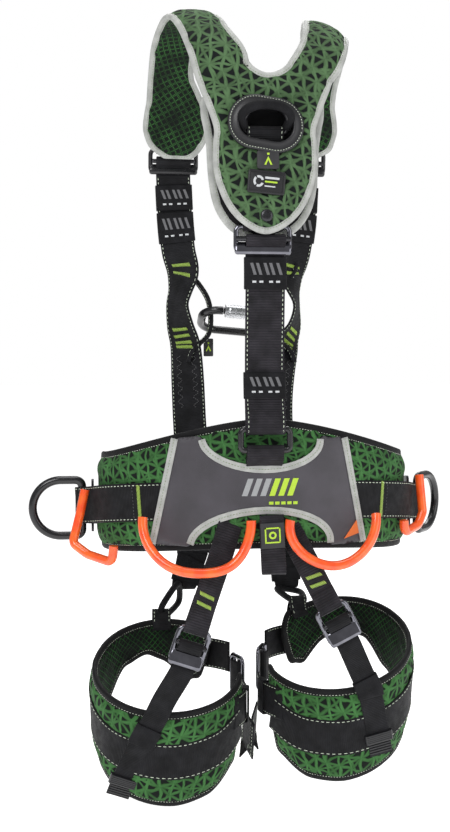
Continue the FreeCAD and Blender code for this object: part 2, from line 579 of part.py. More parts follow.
# ---------------------------------------------------------------- leg loops
class Leg:
    """One leg loop. Angles run from the back (0) round the outside (90) to the front (180)."""

    A, B = 87.5, 86.0
    RIM_Z, RIM_TILT = -217.0, 34.0
    FROM, TO = -76, 220
    # angle and pad height
    HEIGHTS = [(FROM, 62), (-66, 98), (-30, 112), (0, 115), (45, 114), (90, 104), (120, 78), (145, 48),
               (165, 42), (182, 54), (198, 76), (211, 68), (TO, 34)]

    def __init__(self, name, side, x, y, lift, roll):
        self.name, self.side, self.x, self.y, self.lift, self.roll = name, side, x, y, lift, roll

    def rim(self, deg):
        r = math.radians(deg)
        return self.RIM_Z - self.RIM_TILT * math.cos(r) + self.lift + self.roll * math.sin(r)

    def height(self, deg):
        for (a, low), (b, high) in zip(self.HEIGHTS, self.HEIGHTS[1:]):
            if deg <= b:
                t = (deg - a) / (b - a)
                return low + (high - low) * t * t * (3 - 2 * t)
        return self.HEIGHTS[-1][1]

    def out(self, deg):
        r = math.radians(deg)
        return unit(V(self.side * math.sin(r) / self.A, -math.cos(r) / self.B, 0))

    def plan(self, deg, offset, z):
        """Point offset from the pad's middle ellipse at a given height."""
        r = math.radians(deg)
        x = self.x + self.side * self.A * math.sin(r)
        return V(x, self.y - self.B * math.cos(r), z) + self.out(deg) * offset

    def flare(self, deg):
        """Direction up the pad, which leans outward at the back and the outside."""
        lean = math.radians(8) * max(0.0, math.cos(math.radians(deg * 0.8)))
        return UP * math.cos(lean) + self.out(deg) * math.sin(lean)

    def point(self, deg, down, offset):
        """Point so far below the rim, and so far outside the pad's middle surface."""
        half = self.height(deg) / 2
        middle = self.plan(deg, 0, self.rim(deg) - half)
        up = self.flare(deg)
        normal = self.out(deg) * up.z - UP * up.dot(self.out(deg))
        return middle + up * (half - down) + normal * offset

    def wrap(self, name, angles, down, offset, widths, thickness):
        points = [tuple(self.point(deg, down(deg), offset)) for deg in angles]
        keep(name, ribbon(points, [self.flare(deg) for deg in angles], widths, thickness))

    def pad(self):
        angles = sorted({-76, -71, -66, *range(-54, 186, 12), 190, 198, 205, 211, 216, 220})
        heights = [self.height(deg) for deg in angles]
        self.wrap(self.name + "_pad", angles, lambda deg: self.height(deg) / 2, 0, heights, PAD_T)

    def band(self):
        """Wide webbing sewn round the outside of the pad."""
        angles = list(range(-66, 127, 12))
        widths = [WEB - max(0, k - 11) * 3.0 for k in range(len(angles))]
        offset = PAD_T / 2 + GAP + 1.1

        def middle(deg):
            return min(58.0, self.height(deg) / 2)

        self.wrap(self.name + "_webbing", angles, middle, offset, widths, 2.2)

    def closure(self):
        """Inner strap in two lengths, the buckle between them, and the strap's folded free tail."""
        name = self.name + "_inner_strap"
        offset = PAD_T / 2 + 3.5
        high, low = self.rim(self.TO) - 34, self.rim(self.FROM) - 40
        for angles, z in (((198, 208, 218, 228), high), ((270, 280, 290, 300), low)):
            keep(name, ribbon([tuple(self.plan(deg, offset, z)) for deg in angles], UP, WEB - 6, 2.2))
        top = self.plan(268, offset + 5, low - 24)
        tail = [tuple(top + V(0, 7 * k, -17 * k)) for k in range(4)]
        keep(name, ribbon(tail, FRONT, 34, 3.6))
        middle = self.plan(249, offset, (high + low) / 2)
        ahead = self.plan(250, offset, middle.z) - self.plan(248, offset, middle.z)
        keep(self.name + "_buckle", placed(adjuster_frame(WEB + 10, 36), middle, UP, ahead))

    def rear_strap(self, top, buckle, last_deg):
        """Anchor on the belt, the strap to the adjuster, and on over the pad to its lower rim."""
        down = unit(buckle - top)
        across = unit(FRONT.cross(down)) * (1 if FRONT.cross(down).x > 0 else -1)
        gap = 4.5
        anchor = [top - down * 32 + FRONT * 5, top - down * 18 + FRONT * 3, top - down * gap]
        keep("leg_strap_anchors", ribbon(anchor, across, LEG_WEB, WEB_T))
        hang = [top + down * gap, (top + buckle) / 2, buckle - down * 24]
        keep(self.name + "_strap", ribbon(hang, across, LEG_WEB, WEB_T))
        first_deg, offset = 11.0, PAD_T / 2 + GAP + 2.2 + 1.0 + WEB_T / 2
        lie = []
        for k in range(8):
            deg = first_deg + (last_deg - first_deg) * k / 7
            lie.append(self.point(deg, 2 + (self.height(deg) - 8) * k / 7, offset))
        lead = [buckle + down * 25, buckle + (lie[0] - buckle) * 0.7 - FRONT * 2]
        keep(self.name + "_strap", ribbon(lead + lie, across, LEG_WEB, WEB_T))
        w, bar_r = LEG_WEB + 13, 2.6
        keep(self.name + "_adjuster_frame", placed(adjuster_frame(w, 46), buckle, across, down * -1))
        origin = buckle - down * 3 - FRONT * (1.8 + bar_r + GAP)
        keep(self.name + "_adjuster_bar", placed(adjuster_bar(w, bar_r), origin, across, down * -1))

    def front_link(self, strap_x, eye_deg):
        """Lower end of the front strap, and the link ring between it and the pad's webbing eye."""
        eye = self.plan(eye_deg, 0, self.rim(eye_deg) + 1)
        start = V(strap_x, 109, PIVOT_FRONT_Z - 9)
        fold = V(strap_x + (eye.x - strap_x) * 0.3, 103, PIVOT_FRONT_Z - 40)
        keep(self.name + "_front_strap", ribbon([start, (start + fold) / 2, fold], V(1, 0, 0), WEB - 5, 4.0))
        top = fold + V((eye.x - fold.x) * 0.2, -4, -6)
        foot = eye + V(0, 8, 6)
        along = unit(foot - top)
        side = unit(RIGHT * 0.6 + FRONT)
        side = unit(side - along * side.dot(along))
        corners = [top - side * 19, top + side * 19, foot + side * 11, foot - side * 11]
        keep(self.name + "_link_ring", rod(corners, 4.0, 2.4, True))


def legs():
    left = Leg("left_leg", LEFT_SIDE, -108.0, -28.0, 0.0, 0.0)
    right = Leg("right_leg", RIGHT_SIDE, 102.0, -28.0, 23.0, 14.0)
    for leg in (left, right):
        leg.pad()
        leg.band()
        leg.closure()
    left.rear_strap(V(-54, -138, PIVOT_REAR_Z), V(-89, -141, -170), 42)
    right.rear_strap(V(42, -138, PIVOT_REAR_Z), V(82, -141, -146), 24)
    left.front_link(-65, 178)
    right.front_link(57, 203)


# ---------------------------------------------------------------- build
def main():
    belt_pad()
    back_panel()
    for side in (LEFT_SIDE, RIGHT_SIDE):
        side_webbing(side)
        hip_bracket(side)
        front_webbing(side)
        belt_adjuster(side)
        side_ring(side)
        shoulder_pad(side)
        front_strap(side)
        shoulder_adjuster(side)
        chest_loop(side)
    ventral_ring()
    waist_tab()
    restraint_loop()
    waist_ring()
    gear_loops()
    yoke()
    yoke_details()
    dorsal_ring()
    dorsal_webbing()
    back_strap()
    back_adjuster()
    karabiner()
    legs()
    os.makedirs("parts", exist_ok=True)
    for name, solids in sorted(nodes.items()):
        shape = solids[0] if len(solids) == 1 else Part.makeCompound(solids)
        shape.exportStep("parts/" + name + ".step")


main()
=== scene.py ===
import math
import bmesh
import bpy
import numpy as np
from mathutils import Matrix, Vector
from mathutils.geometry import delaunay_2d_cdt


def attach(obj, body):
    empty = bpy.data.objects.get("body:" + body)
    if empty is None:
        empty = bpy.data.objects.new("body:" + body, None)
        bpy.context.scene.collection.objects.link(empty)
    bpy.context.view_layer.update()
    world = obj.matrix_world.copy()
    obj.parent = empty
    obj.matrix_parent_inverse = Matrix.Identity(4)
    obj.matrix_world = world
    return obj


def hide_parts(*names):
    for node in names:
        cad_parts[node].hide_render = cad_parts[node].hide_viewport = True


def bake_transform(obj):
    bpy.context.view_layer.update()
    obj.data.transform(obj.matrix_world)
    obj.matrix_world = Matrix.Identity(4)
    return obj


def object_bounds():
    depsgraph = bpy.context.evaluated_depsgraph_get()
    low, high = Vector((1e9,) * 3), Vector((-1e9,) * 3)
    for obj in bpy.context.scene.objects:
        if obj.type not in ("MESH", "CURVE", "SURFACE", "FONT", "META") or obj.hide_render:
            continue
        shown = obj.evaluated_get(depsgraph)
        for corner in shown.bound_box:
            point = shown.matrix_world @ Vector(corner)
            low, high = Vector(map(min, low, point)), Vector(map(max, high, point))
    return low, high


# Tree climbing harness seen from behind. All sizes below are in millimetres, and become metres in make().
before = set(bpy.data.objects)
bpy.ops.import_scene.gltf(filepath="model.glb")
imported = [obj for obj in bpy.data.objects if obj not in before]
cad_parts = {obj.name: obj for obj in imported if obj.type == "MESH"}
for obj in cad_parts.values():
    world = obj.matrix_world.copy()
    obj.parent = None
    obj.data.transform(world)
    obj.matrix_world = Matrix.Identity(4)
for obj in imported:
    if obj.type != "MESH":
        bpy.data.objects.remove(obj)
cad_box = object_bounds()

MM = 0.001
UP, RIGHT, FRONT = np.array((0.0, 0, 1)), np.array((1.0, 0, 0)), np.array((0.0, 1, 0))
LEFT_SIDE, RIGHT_SIDE = -1, 1
SIDE_NAME = {LEFT_SIDE: "left", RIGHT_SIDE: "right"}

WEB, WEB_T, LEG_WEB = 45.0, 2.4, 28.0     # main webbing's width and thickness, and the leg straps' width
# half axes, thickness, and degrees to each end
BELT_A, BELT_B, BELT_T, BELT_END = 185.0, 123.0, 14.0, 118.0
# the back panel's middle, and how far it stands outside the belt's middle
PANEL_X, PANEL_RISE = -5.5, 9.5
YOKE_X, YOKE_T = -4.0, 14.0
YOKE_LOW, YOKE_HIGH = np.array((YOKE_X, -151.0, 298.0)), np.array((YOKE_X, -137.0, 474.0))
OPENING_Z, OPENING_W, OPENING_H, OPENING_TILT = 418.0, 66.0, 41.0, -9.0
PAD_T = 11.0                              # leg loops' padding
# adjusters' bars, and the webbing's turn round an adjuster's upper rail
ADJUSTER_BAR_R, RAIL_WRAP = 2.6, 4.2


# ---------------------------------------------------------------- lines
def unit(v):
    v = np.asarray(v, float)
    return v / np.maximum(np.linalg.norm(v, axis=-1, keepdims=True), 1e-12)


def ease(t):
    t = np.clip(t, 0, 1)
    return t * t * (3 - 2 * t)


def catmull(rows, steps=8, closed=False):
    """Smooth line through rows of numbers."""
    rows = np.asarray(rows, float)
    n = len(rows)
    out = []
    for i in range(n if closed else n - 1):
        near = [(i + k) % n if closed else min(max(i + k, 0), n - 1) for k in (-1, 0, 1, 2)]
        a, b, c, d = rows[near]
        for k in range(steps):
            t = k / steps
            out.append(b + t / 2 * (c - a + t * (2 * a - 5 * b + 4 * c - d + t * (3 * b - a - 3 * c + d))))
    return np.array(out if closed else out + [rows[-1]])


def lengths(rows, dims):
    return np.concatenate([[0], np.cumsum(np.linalg.norm(np.diff(rows[:, :dims], axis=0), axis=1))])


def between(at, s, rows):
    """Row of a three-column table at one value of s."""
    return np.array([np.interp(at, s, rows[:, k]) for k in range(3)])


def resample(rows, step, dims=3, closed=False):
    """Rows about step apart along the line that their first columns draw."""
    rows = np.asarray(rows, float)
    if closed:
        rows = np.vstack([rows, rows[:1]])
    s = lengths(rows, dims)
    n = max(2, round(s[-1] / step))
    at = np.linspace(0, s[-1], n + 1)
    out = np.stack([np.interp(at, s, rows[:, k]) for k in range(rows.shape[1])], axis=1)
    return out[:-1] if closed else out


def along(rows, closed=False):
    """Direction of a line at each of its points."""
    if closed:
        return unit(np.roll(rows, -1, axis=0) - np.roll(rows, 1, axis=0))
    return unit(np.gradient(rows, axis=0))


def beside(loop):
    """Direction to the right of a closed flat outline at each of its points, which is outward on most."""
    t = along(loop, True)
    return np.column_stack([t[:, 1], -t[:, 0]])


def circle(n):
    """Angles of n points round a circle."""
    return np.linspace(0, 2 * math.pi, n + 1)[:-1]


def arc(centre, r, start, end, n=8):
    a = np.radians(np.linspace(start, end, n + 1))
    return [(centre[0] + r * math.cos(t), centre[1] + r * math.sin(t)) for t in a]


def around(deg, a, b):
    """Point of a plan ellipse, deg from the back towards the wearer's left."""
    r = math.radians(deg)
    return -a * math.sin(r), -b * math.cos(r)


def rounded_rectangle(w, h, r, n=5):
    out = []
    for x, y, start in ((1, 1, 0), (-1, 1, 90), (-1, -1, 180), (1, -1, 270)):
        out += arc((x * (w / 2 - r), y * (h / 2 - r)), r, start, start + 90, n)
    return out


# ---------------------------------------------------------------- meshes
def make(name, points, faces, material, body, cloth=None, smooth=True):
    """Mesh object from points in millimetres. cloth gives each point's place on the cloth."""
    mesh = bpy.data.meshes.new(name)
    mesh.from_pydata((np.asarray(points, float) * MM).tolist(), [], faces)
    if cloth is not None:
        attribute = mesh.attributes.new("cloth", "FLOAT_VECTOR", "POINT")
        attribute.data.foreach_set("vector", np.asarray(cloth, np.float32).ravel())
    mesh.shade_smooth() if smooth else mesh.shade_flat()
    for m in material if isinstance(material, list) else [material]:
        mesh.materials.append(m)
    obj = bpy.data.objects.new(name, mesh)
    bpy.context.collection.objects.link(obj)
    if body:
        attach(obj, body)
    return obj


def skin(rings, closed=False):
    """Faces over rings of the same number of points, as one flat list."""
    n, m = len(rings), len(rings[0])
    faces = []
    for i in range(n if closed else n - 1):
        a, b = i * m, (i + 1) % n * m
        faces += [(a + k, a + (k + 1) % m, b + (k + 1) % m, b + k) for k in range(m)]
    if not closed:
        faces += [tuple(range(m))[::-1], tuple(range((n - 1) * m, n * m))]
    return np.concatenate(rings), faces


def outward(obj):
    """Makes the faces of a closed mesh point outward."""
    b = bmesh.new()
    b.from_mesh(obj.data)
    bmesh.ops.recalc_face_normals(b, faces=b.faces)
    b.to_mesh(obj.data)
    b.free()
    return obj


def soften(obj, angle):
    """Smooth shading apart from edges sharper than angle."""
    obj.data.set_sharp_from_angle(angle=math.radians(angle))
    return obj


def modify(obj, kind, **settings):
    """Adds a modifier and applies it."""
    modifier = obj.modifiers.new(kind, kind)
    for key, value in settings.items():
        setattr(modifier, key, value)
    graph = bpy.context.evaluated_depsgraph_get()
    result = obj.evaluated_get(graph)
    mesh = bpy.data.meshes.new_from_object(result, preserve_all_data_layers=True, depsgraph=graph)
    obj.modifiers.clear()
    old, obj.data = obj.data, mesh
    name = old.name
    bpy.data.meshes.remove(old)
    mesh.name = name
    return obj


class Strip:
    """A band's middle line, with its sideways direction, its outward normal and its width."""

    STEP = 3.0

    def __init__(self, path, across, widths):
        n = len(path)
        across = np.broadcast_to(np.asarray(across, float), (n, 3))
        widths = np.broadcast_to(np.asarray(widths, float), (n,))
        rows = np.column_stack([np.asarray(path, float), across, widths])
        rows = resample(catmull(rows), self.STEP)
        self.p, side, self.w = rows[:, :3], rows[:, 3:6], rows[:, 6]
        self.t = along(self.p)
        self.n = unit(np.cross(self.t, side))
        self.a = np.cross(self.n, self.t)
        self.s = lengths(self.p, 3)

    def at(self, s, u, lift):
        """Point at length s, u to the side and lift above the middle surface."""
        p, a, n = [between(s, self.s, m) for m in (self.p, self.a, self.n)]
        return p + unit(a) * u + unit(n) * lift

    def rings(self, section):
        """section holds (share of the half width, lift) pairs."""
        rows = zip(self.p, self.a, self.n, self.w)
        return [np.array([p + a * (u * w / 2) + n * lift for u, lift in section]) for p, a, n, w in rows]


# ---------------------------------------------------------------- materials
class Paint:
    """A Principled material and short ways to build its nodes."""

    def __init__(self, name, colour, roughness, metallic=0.0, **sockets):
        self.mat = bpy.data.materials.new(name)
        self.mat.use_nodes = True
        self.tree = self.mat.node_tree
        self.shader = self.tree.nodes["Principled BSDF"]
        self.set(self.shader, "Base Color", (*colour, 1))
        self.set(self.shader, "Roughness", roughness)
        self.set(self.shader, "Metallic", metallic)
        for key, value in sockets.items():
            self.set(self.shader, key.replace("_", " "), value)

    def set(self, node, key, value):
        socket = node.inputs[key]
        if isinstance(value, bpy.types.NodeSocket):
            self.tree.links.new(value, socket)
        else:
            socket.default_value = value

    def add(self, kind, settings=None, **inputs):
        node = self.tree.nodes.new("ShaderNode" + kind)
        for key, value in (settings or {}).items():
            setattr(node, key, value)
        for key, value in inputs.items():
            self.set(node, key, value)
        return node

    def dot(self, x, y, deg):
        """Distance along a direction in the plane of x and y."""
        a = math.radians(deg)
        return self.calc("ADD", self.calc("MULTIPLY", x, math.cos(a)),
                         self.calc("MULTIPLY", y, math.sin(a)))

    def calc(self, operation, *values):
        node = self.add("Math", {"operation": operation})
        for k, value in enumerate(values):
            self.set(node, k, value)
        return node.outputs[0]

    def cloth(self):
        """Place on the cloth in millimetres, as X, Y and Z sockets."""
        self.place = self.add("Attribute", {"attribute_name": "cloth"}).outputs["Vector"]
        return self.split(self.place)

    def solid(self):
        """Place in the piece in millimetres."""
        where = self.add("TexCoord").outputs["Object"]
        self.place = self.add("VectorMath", {"operation": "SCALE"}, Vector=where, Scale=1 / MM).outputs[0]
        return self.split(self.place)

    def split(self, vector):
        node = self.add("SeparateXYZ", Vector=vector)
        return node.outputs[0], node.outputs[1], node.outputs[2]

    def noise(self, size, detail=3.0, roughness=0.5, out="Fac"):
        """Noise whose lumps are about size millimetres."""
        node = self.add("TexNoise", Vector=self.place, Scale=1 / size, Detail=detail, Roughness=roughness)
        return node.outputs[out]

    def mix(self, share, a, b):
        node = self.add("Mix", {"data_type": "RGBA"})
        self.set(node, 0, share)
        for k, c in ((6, a), (7, b)):
            self.set(node, k, c if isinstance(c, bpy.types.NodeSocket) else (*c, 1))
        return node.outputs[2]

    def step(self, value, low, high, to_low=0.0, to_high=1.0):
        node = self.add("MapRange", {"interpolation_type": "SMOOTHSTEP", "clamp": True})
        for k, v in enumerate((value, low, high, to_low, to_high)):
            self.set(node, k, v)
        return node.outputs[0]

    def wave(self, value, pitch):
        """From 0 to 1 and back once in each pitch."""
        turn = self.calc("MULTIPLY", value, 2 * math.pi / pitch)
        return self.calc("MULTIPLY_ADD", self.calc("SINE", turn), 0.5, 0.5)

    def peak(self, value, pitch):
        """Distance to the nearest multiple of pitch, as a share of pitch."""
        part = self.calc("FRACT", self.calc("DIVIDE", value, pitch))
        return self.calc("SUBTRACT", 0.5, self.calc("ABSOLUTE", self.calc("SUBTRACT", part, 0.5)))

    def colour(self, value):
        self.set(self.shader, "Base Color", value)

    def rough(self, value):
        self.set(self.shader, "Roughness", value)

    def bump(self, height, depth, strength):
        """Raises the surface by depth millimetres where height is 1."""
        node = self.add("Bump", Strength=strength, Distance=depth * MM, Height=height)
        self.set(self.shader, "Normal", node.outputs[0])


FABRIC = {"Specular_IOR_Level": 0.16, "Sheen_Weight": 0.02}


def weave(paint, x, y, pitch):
    """Height of a plain weave."""
    over = paint.calc("MULTIPLY", paint.wave(x, pitch), paint.wave(y, pitch))
    under = paint.calc("MULTIPLY", paint.wave(paint.calc("ADD", x, pitch / 2), pitch),
                       paint.wave(paint.calc("ADD", y, pitch / 2), pitch))
    return paint.calc("MAXIMUM", over, under)


def print_material(name, light, dark, size):
    """Printed fabric: strokes along three directions, with dark triangles left between them."""
    paint = Paint(name, light, 0.8, **FABRIC)
    paint.cloth()
    shift = paint.add("VectorMath", {"operation": "SUBTRACT"})
    paint.set(shift, 0, paint.noise(size * 1.7, 1.0, out="Color"))
    paint.set(shift, 1, (0.5, 0.5, 0.5))
    move = paint.add("VectorMath", {"operation": "SCALE"}, Vector=shift.outputs[0],
                     Scale=size * 0.75).outputs[0]
    bent = paint.add("VectorMath", {"operation": "ADD"})
    paint.set(bent, 0, paint.place)
    paint.set(bent, 1, move)
    x, y, _ = paint.split(bent.outputs[0])
    row = size * math.sqrt(3) / 2
    lines = [paint.peak(paint.dot(x, y, deg), row) for deg in (9, 69, 129)]
    near = paint.calc("MINIMUM", paint.calc("MINIMUM", lines[0], lines[1]), lines[2])
    extra = [paint.calc("MULTIPLY", paint.peak(paint.dot(x, y, deg), row * 1.7), 1.9) for deg in (31, 101)]
    near = paint.calc("MINIMUM", near, paint.calc("MINIMUM", *extra))
    limit = paint.step(paint.noise(size * 0.8, 1.0), 0.3, 0.7, 0.105, 0.17)
    gap = paint.step(paint.calc("SUBTRACT", near, limit), -0.008, 0.012)
    first = paint.calc("LESS_THAN", lines[0], paint.calc("MINIMUM", lines[1], lines[2]))
    second = paint.calc("LESS_THAN", lines[1], lines[2])
    tone = paint.calc("MULTIPLY_ADD", first, 0.30, paint.calc("MULTIPLY", second, 0.22))
    tone = paint.calc("ADD", tone, paint.step(near, 0.0, 0.15, 0.5, 0.0))
    tone = paint.calc("ADD", tone, paint.step(paint.noise(size * 2.2), 0.35, 0.65, -0.2, 0.2))
    mid = tuple(c * 0.42 for c in light)
    green = paint.mix(paint.calc("MINIMUM", tone, 1.0), mid, light)
    paint.colour(paint.mix(gap, green, dark))
    knit = weave(paint, *paint.split(paint.place)[:2], 1.5)
    puff = paint.calc("MULTIPLY_ADD", gap, -1.5, paint.calc("MULTIPLY", knit, 0.35))
    paint.bump(puff, 0.35, 0.8)
    return paint.mat


def web_material(name, colour, rib, rib_depth, roughness=0.6):
    """Woven webbing: ribs across it, yarns along it. Its colour is darker in the rib valleys and lighter on
    the crests: painted shade and painted highlight.
    """
    paint = Paint(name, colour, roughness, **FABRIC)
    x, y, _ = paint.cloth()
    yarn = paint.wave(paint.calc("ADD", x, paint.calc("MULTIPLY", paint.wave(y, rib), 0.5)), 1.3)
    height = paint.calc("MULTIPLY_ADD", paint.wave(y, rib), 1.0, paint.calc("MULTIPLY", yarn, 0.35))
    worn = paint.step(paint.noise(22.0), 0.3, 0.75)
    # colour: random worn patches, times painted shade in the rib valleys and painted highlight on the rib
    # crests
    shade = paint.calc("MULTIPLY", worn, paint.step(height, 0.1, 1.2, 0.45, 1.0))
    paint.colour(paint.mix(shade, tuple(c * 0.5 for c in colour), tuple(c * 1.5 for c in colour)))
    paint.rough(paint.step(paint.noise(9.0), 0.2, 0.8, roughness - 0.1, roughness + 0.12))
    paint.bump(height, rib_depth, 0.9)
    return paint.mat


def mesh_material(name, turned):
    """Black spacer mesh with a grid of fine green threads."""
    paint = Paint(name, (0.01, 0.012, 0.01), 0.8, **FABRIC)
    x, y, _ = paint.cloth()
    if turned:
        x, y = paint.calc("ADD", x, y), paint.calc("SUBTRACT", x, y)
    pitch = 8.0 if turned else 7.0
    line = paint.calc("MINIMUM", paint.peak(x, pitch), paint.peak(y, pitch))
    reach, dot = (0.06, 1.9) if turned else (0.15, 2.0)
    thread = paint.step(line, reach, reach + 0.05, 1.0, 0.0)
    dots = paint.calc("MULTIPLY", paint.step(paint.peak(x, dot), 0.12, 0.3),
                      paint.step(paint.peak(y, dot), 0.12, 0.3))
    thread = paint.calc("MULTIPLY", thread, paint.step(dots, 0.0, 0.6, 0.06, 1.0))
    fade = paint.step(paint.noise(30.0), 0.3, 0.65, 0.15, 1.0)
    green = (0.040, 0.22, 0.038) if turned else (0.055, 0.19, 0.048)
    paint.colour(paint.mix(paint.calc("MULTIPLY", thread, fade), (0.006, 0.008, 0.007), green))
    holes = paint.calc("MULTIPLY", paint.peak(x, pitch), paint.peak(y, pitch))
    paint.bump(paint.calc("ADD", thread, paint.calc("MULTIPLY", holes, -4.0)), 0.5, 0.9)
    return paint.mat


def tape_material(name, colour, roughness, grain=1.0):
    """Fine woven binding tape."""
    paint = Paint(name, colour, roughness, **FABRIC)
    x, y, _ = paint.cloth()
    knit = weave(paint, x, y, grain)
    shade = paint.step(paint.noise(14.0, 4.0), 0.25, 0.75, 0.0, 1.0)
    paint.colour(paint.mix(shade, tuple(c * 0.72 for c in colour), colour))
    crease = paint.noise(5.0, 2.0)
    paint.bump(paint.calc("MULTIPLY_ADD", crease, 1.6, paint.calc("MULTIPLY", knit, 0.4)), 0.35, 0.7)
    return paint.mat


def vinyl_material(name, colour):
    """Coated fabric with a fine leather grain."""
    paint = Paint(name, colour, 0.45, Coat_Weight=0.08, Coat_Roughness=0.35)
    paint.solid()
    grain = paint.add("TexVoronoi", {"feature": "DISTANCE_TO_EDGE"}, Vector=paint.place,
                      Scale=0.75).outputs[0]
    cloud = paint.noise(45.0)
    paint.colour(paint.mix(paint.step(cloud, 0.3, 0.7), tuple(c * 0.8 for c in colour),
                           tuple(c * 1.25 for c in colour)))
    paint.rough(paint.step(paint.noise(6.0), 0.2, 0.8, 0.38, 0.52))
    paint.bump(paint.calc("MULTIPLY_ADD", paint.step(grain, 0.0, 0.25), 0.5,
                          paint.calc("MULTIPLY", cloud, 1.5)), 0.35, 0.5)
    return paint.mat


def metal_material(name, colour, roughness, metallic=1.0, **more):
    """Metal with small scratches and worn patches."""
    paint = Paint(name, colour, roughness, metallic, **more)
    paint.solid()
    scratch = paint.noise(3.0, 6.0, 0.7)
    paint.rough(paint.step(scratch, 0.3, 0.8, roughness * 0.75, roughness * 1.4))
    paint.colour(paint.mix(paint.step(paint.noise(12.0), 0.35, 0.7), tuple(c * 0.8 for c in colour),
                           colour))
    paint.bump(scratch, 0.02, 0.15)
    return paint.mat


def orange_material():
    """Glossy moulded tube."""
    paint = Paint("orange_tube", (0.95, 0.10, 0.012), 0.28, Coat_Weight=0.6, Coat_Roughness=0.12)
    paint.solid()
    cloud = paint.step(paint.noise(16.0), 0.3, 0.7)
    paint.colour(paint.mix(cloud, (0.90, 0.075, 0.010), (1.0, 0.145, 0.015)))
    paint.bump(paint.noise(2.0, 2.0), 0.12, 0.35)
    return paint.mat


def thread_material(name, colour):
    """Spun thread, or flat print when the piece is flat."""
    paint = Paint(name, colour, 0.55, Sheen_Weight=0.2)
    paint.solid()
    fibre = paint.noise(0.8, 2.0)
    paint.colour(paint.mix(fibre, tuple(c * 0.7 for c in colour), colour))
    paint.bump(fibre, 0.1, 0.5)
    return paint.mat


def rubber_material(name, colour, roughness):
    """Moulded rubber or plastic with a fine grain."""
    paint = Paint(name, colour, roughness)
    paint.solid()
    grain = paint.noise(1.2, 3.0)
    paint.colour(paint.mix(paint.noise(20.0), tuple(c * 0.75 for c in colour),
                           tuple(c * 1.3 for c in colour)))
    paint.rough(paint.step(grain, 0.2, 0.8, roughness * 0.85, roughness * 1.2))
    paint.bump(grain, 0.12, 0.5)
    return paint.mat


PRINT = print_material("green_print", (0.088, 0.165, 0.074), (0.005, 0.007, 0.007), 16.5)
PRINT_DARK = print_material("green_print_belt", (0.055, 0.175, 0.050), (0.005, 0.008, 0.006), 15.0)
MESH = mesh_material("spacer_mesh", False)
MESH_TURNED = mesh_material("spacer_mesh_diagonal", True)
WEBBING = web_material("black_webbing", (0.010, 0.010, 0.012), 2.1, 0.28)
RIBBED = web_material("ribbed_webbing", (0.024, 0.022, 0.027), 3.0, 0.75)
ELASTIC = web_material("elastic", (0.010, 0.010, 0.012), 1.5, 0.22, 0.7)
SILVER_TAPE = tape_material("reflective_tape", (0.47, 0.48, 0.46), 0.42)
BLACK_TAPE = tape_material("black_binding", (0.008, 0.008, 0.009), 0.6)
LINING = tape_material("black_lining", (0.007, 0.007, 0.008), 0.8, 1.6)
VINYL = vinyl_material("charcoal_vinyl", (0.042, 0.038, 0.047))
MOULDED = rubber_material("moulded_trim", (0.012, 0.012, 0.014), 0.38)
BLACK_METAL = metal_material("black_anodised", (0.010, 0.010, 0.012), 0.24, 0.15, Coat_Weight=0.25,
                             Coat_Roughness=0.15)
CHROME = metal_material("black_chrome", (0.20, 0.20, 0.23), 0.10)
STEEL = metal_material("dark_steel", (0.055, 0.055, 0.060), 0.30, 0.9)
SILVER = metal_material("bare_aluminium", (0.62, 0.63, 0.65), 0.30)
ORANGE = orange_material()
WHITE_THREAD = thread_material("white_thread", (0.78, 0.88, 0.70))
LIME_THREAD = thread_material("lime_thread", (0.42, 0.62, 0.09))
GREY_PRINT = thread_material("grey_print", (0.14, 0.14, 0.15))
WHITE_PRINT = thread_material("white_print", (0.62, 0.64, 0.66))
ORANGE_PRINT = thread_material("orange_print", (0.85, 0.18, 0.02))
LINE_THREAD = thread_material("pale_line_thread", (0.20, 0.30, 0.12))
BLACK_THREAD = thread_material("black_thread", (0.06, 0.06, 0.065))
LIME_PRINT = thread_material("lime_print", (0.50, 0.74, 0.04))
GREY_LABEL = thread_material("light_grey_print", (0.36, 0.37, 0.38))
LABEL = rubber_material("label_tape", (0.020, 0.020, 0.022), 0.55)


# ---------------------------------------------------------------- threads and marks
THREAD, FINE_THREAD, HEAVY_THREAD = 0.42, 0.34, 0.6


def threads(name, segments, at, material, body, r=THREAD):
    """Short stitches: each segment is a pair of places (s, u, lift) for at."""
    points, faces = [], []
    for start, end in segments:
        a, b = at(*start), at(*end)
        top = at(start[0], start[1], start[2] + 1.0) - a
        t = unit(b - a)
        n = unit(top - t * np.dot(top, t))
        side = np.cross(t, n)
        base = len(points)
        points += [a - n * r * 0.5, b - n * r * 0.5]
        for share, size in ((0.12, 0.85), (0.5, 1.1), (0.88, 0.85)):
            c = a + (b - a) * share
            points += [c + (side * x + n * y) * r * size for x, y in ((1, 0), (0, 1), (-1, 0), (0, -0.8))]
        for k in range(4):
            j = (k + 1) % 4
            faces.append((base, base + 2 + j, base + 2 + k))
            faces.append((base + 1, base + 10 + k, base + 10 + j))
            for ring in (0, 4):
                low, high = base + 2 + ring, base + 6 + ring
                faces.append((low + k, low + j, high + j, high + k))
    return make(name, points, faces, material, body)


def dashes(line, stitch, gap):
    """Stitch segments along a line of (s, u, lift) rows."""
    line = np.asarray(line, float)
    s = lengths(line, 2)
    out = []
    for start in np.arange(gap / 2, s[-1] - stitch, stitch + gap):
        out.append((between(start, s, line), between(start + stitch, s, line)))
    return out


def bartack(s, width, height, lift, slant=0.0):
    """Dense stitches side by side across a strap."""
    pitch = 1.5
    tilt = pitch * 0.45
    out = []
    for u in np.arange(-width / 2, width / 2, pitch):
        middle = s + slant * u
        out.append(((middle - height / 2, u - tilt, lift), (middle + height / 2, u + tilt, lift)))
    return out


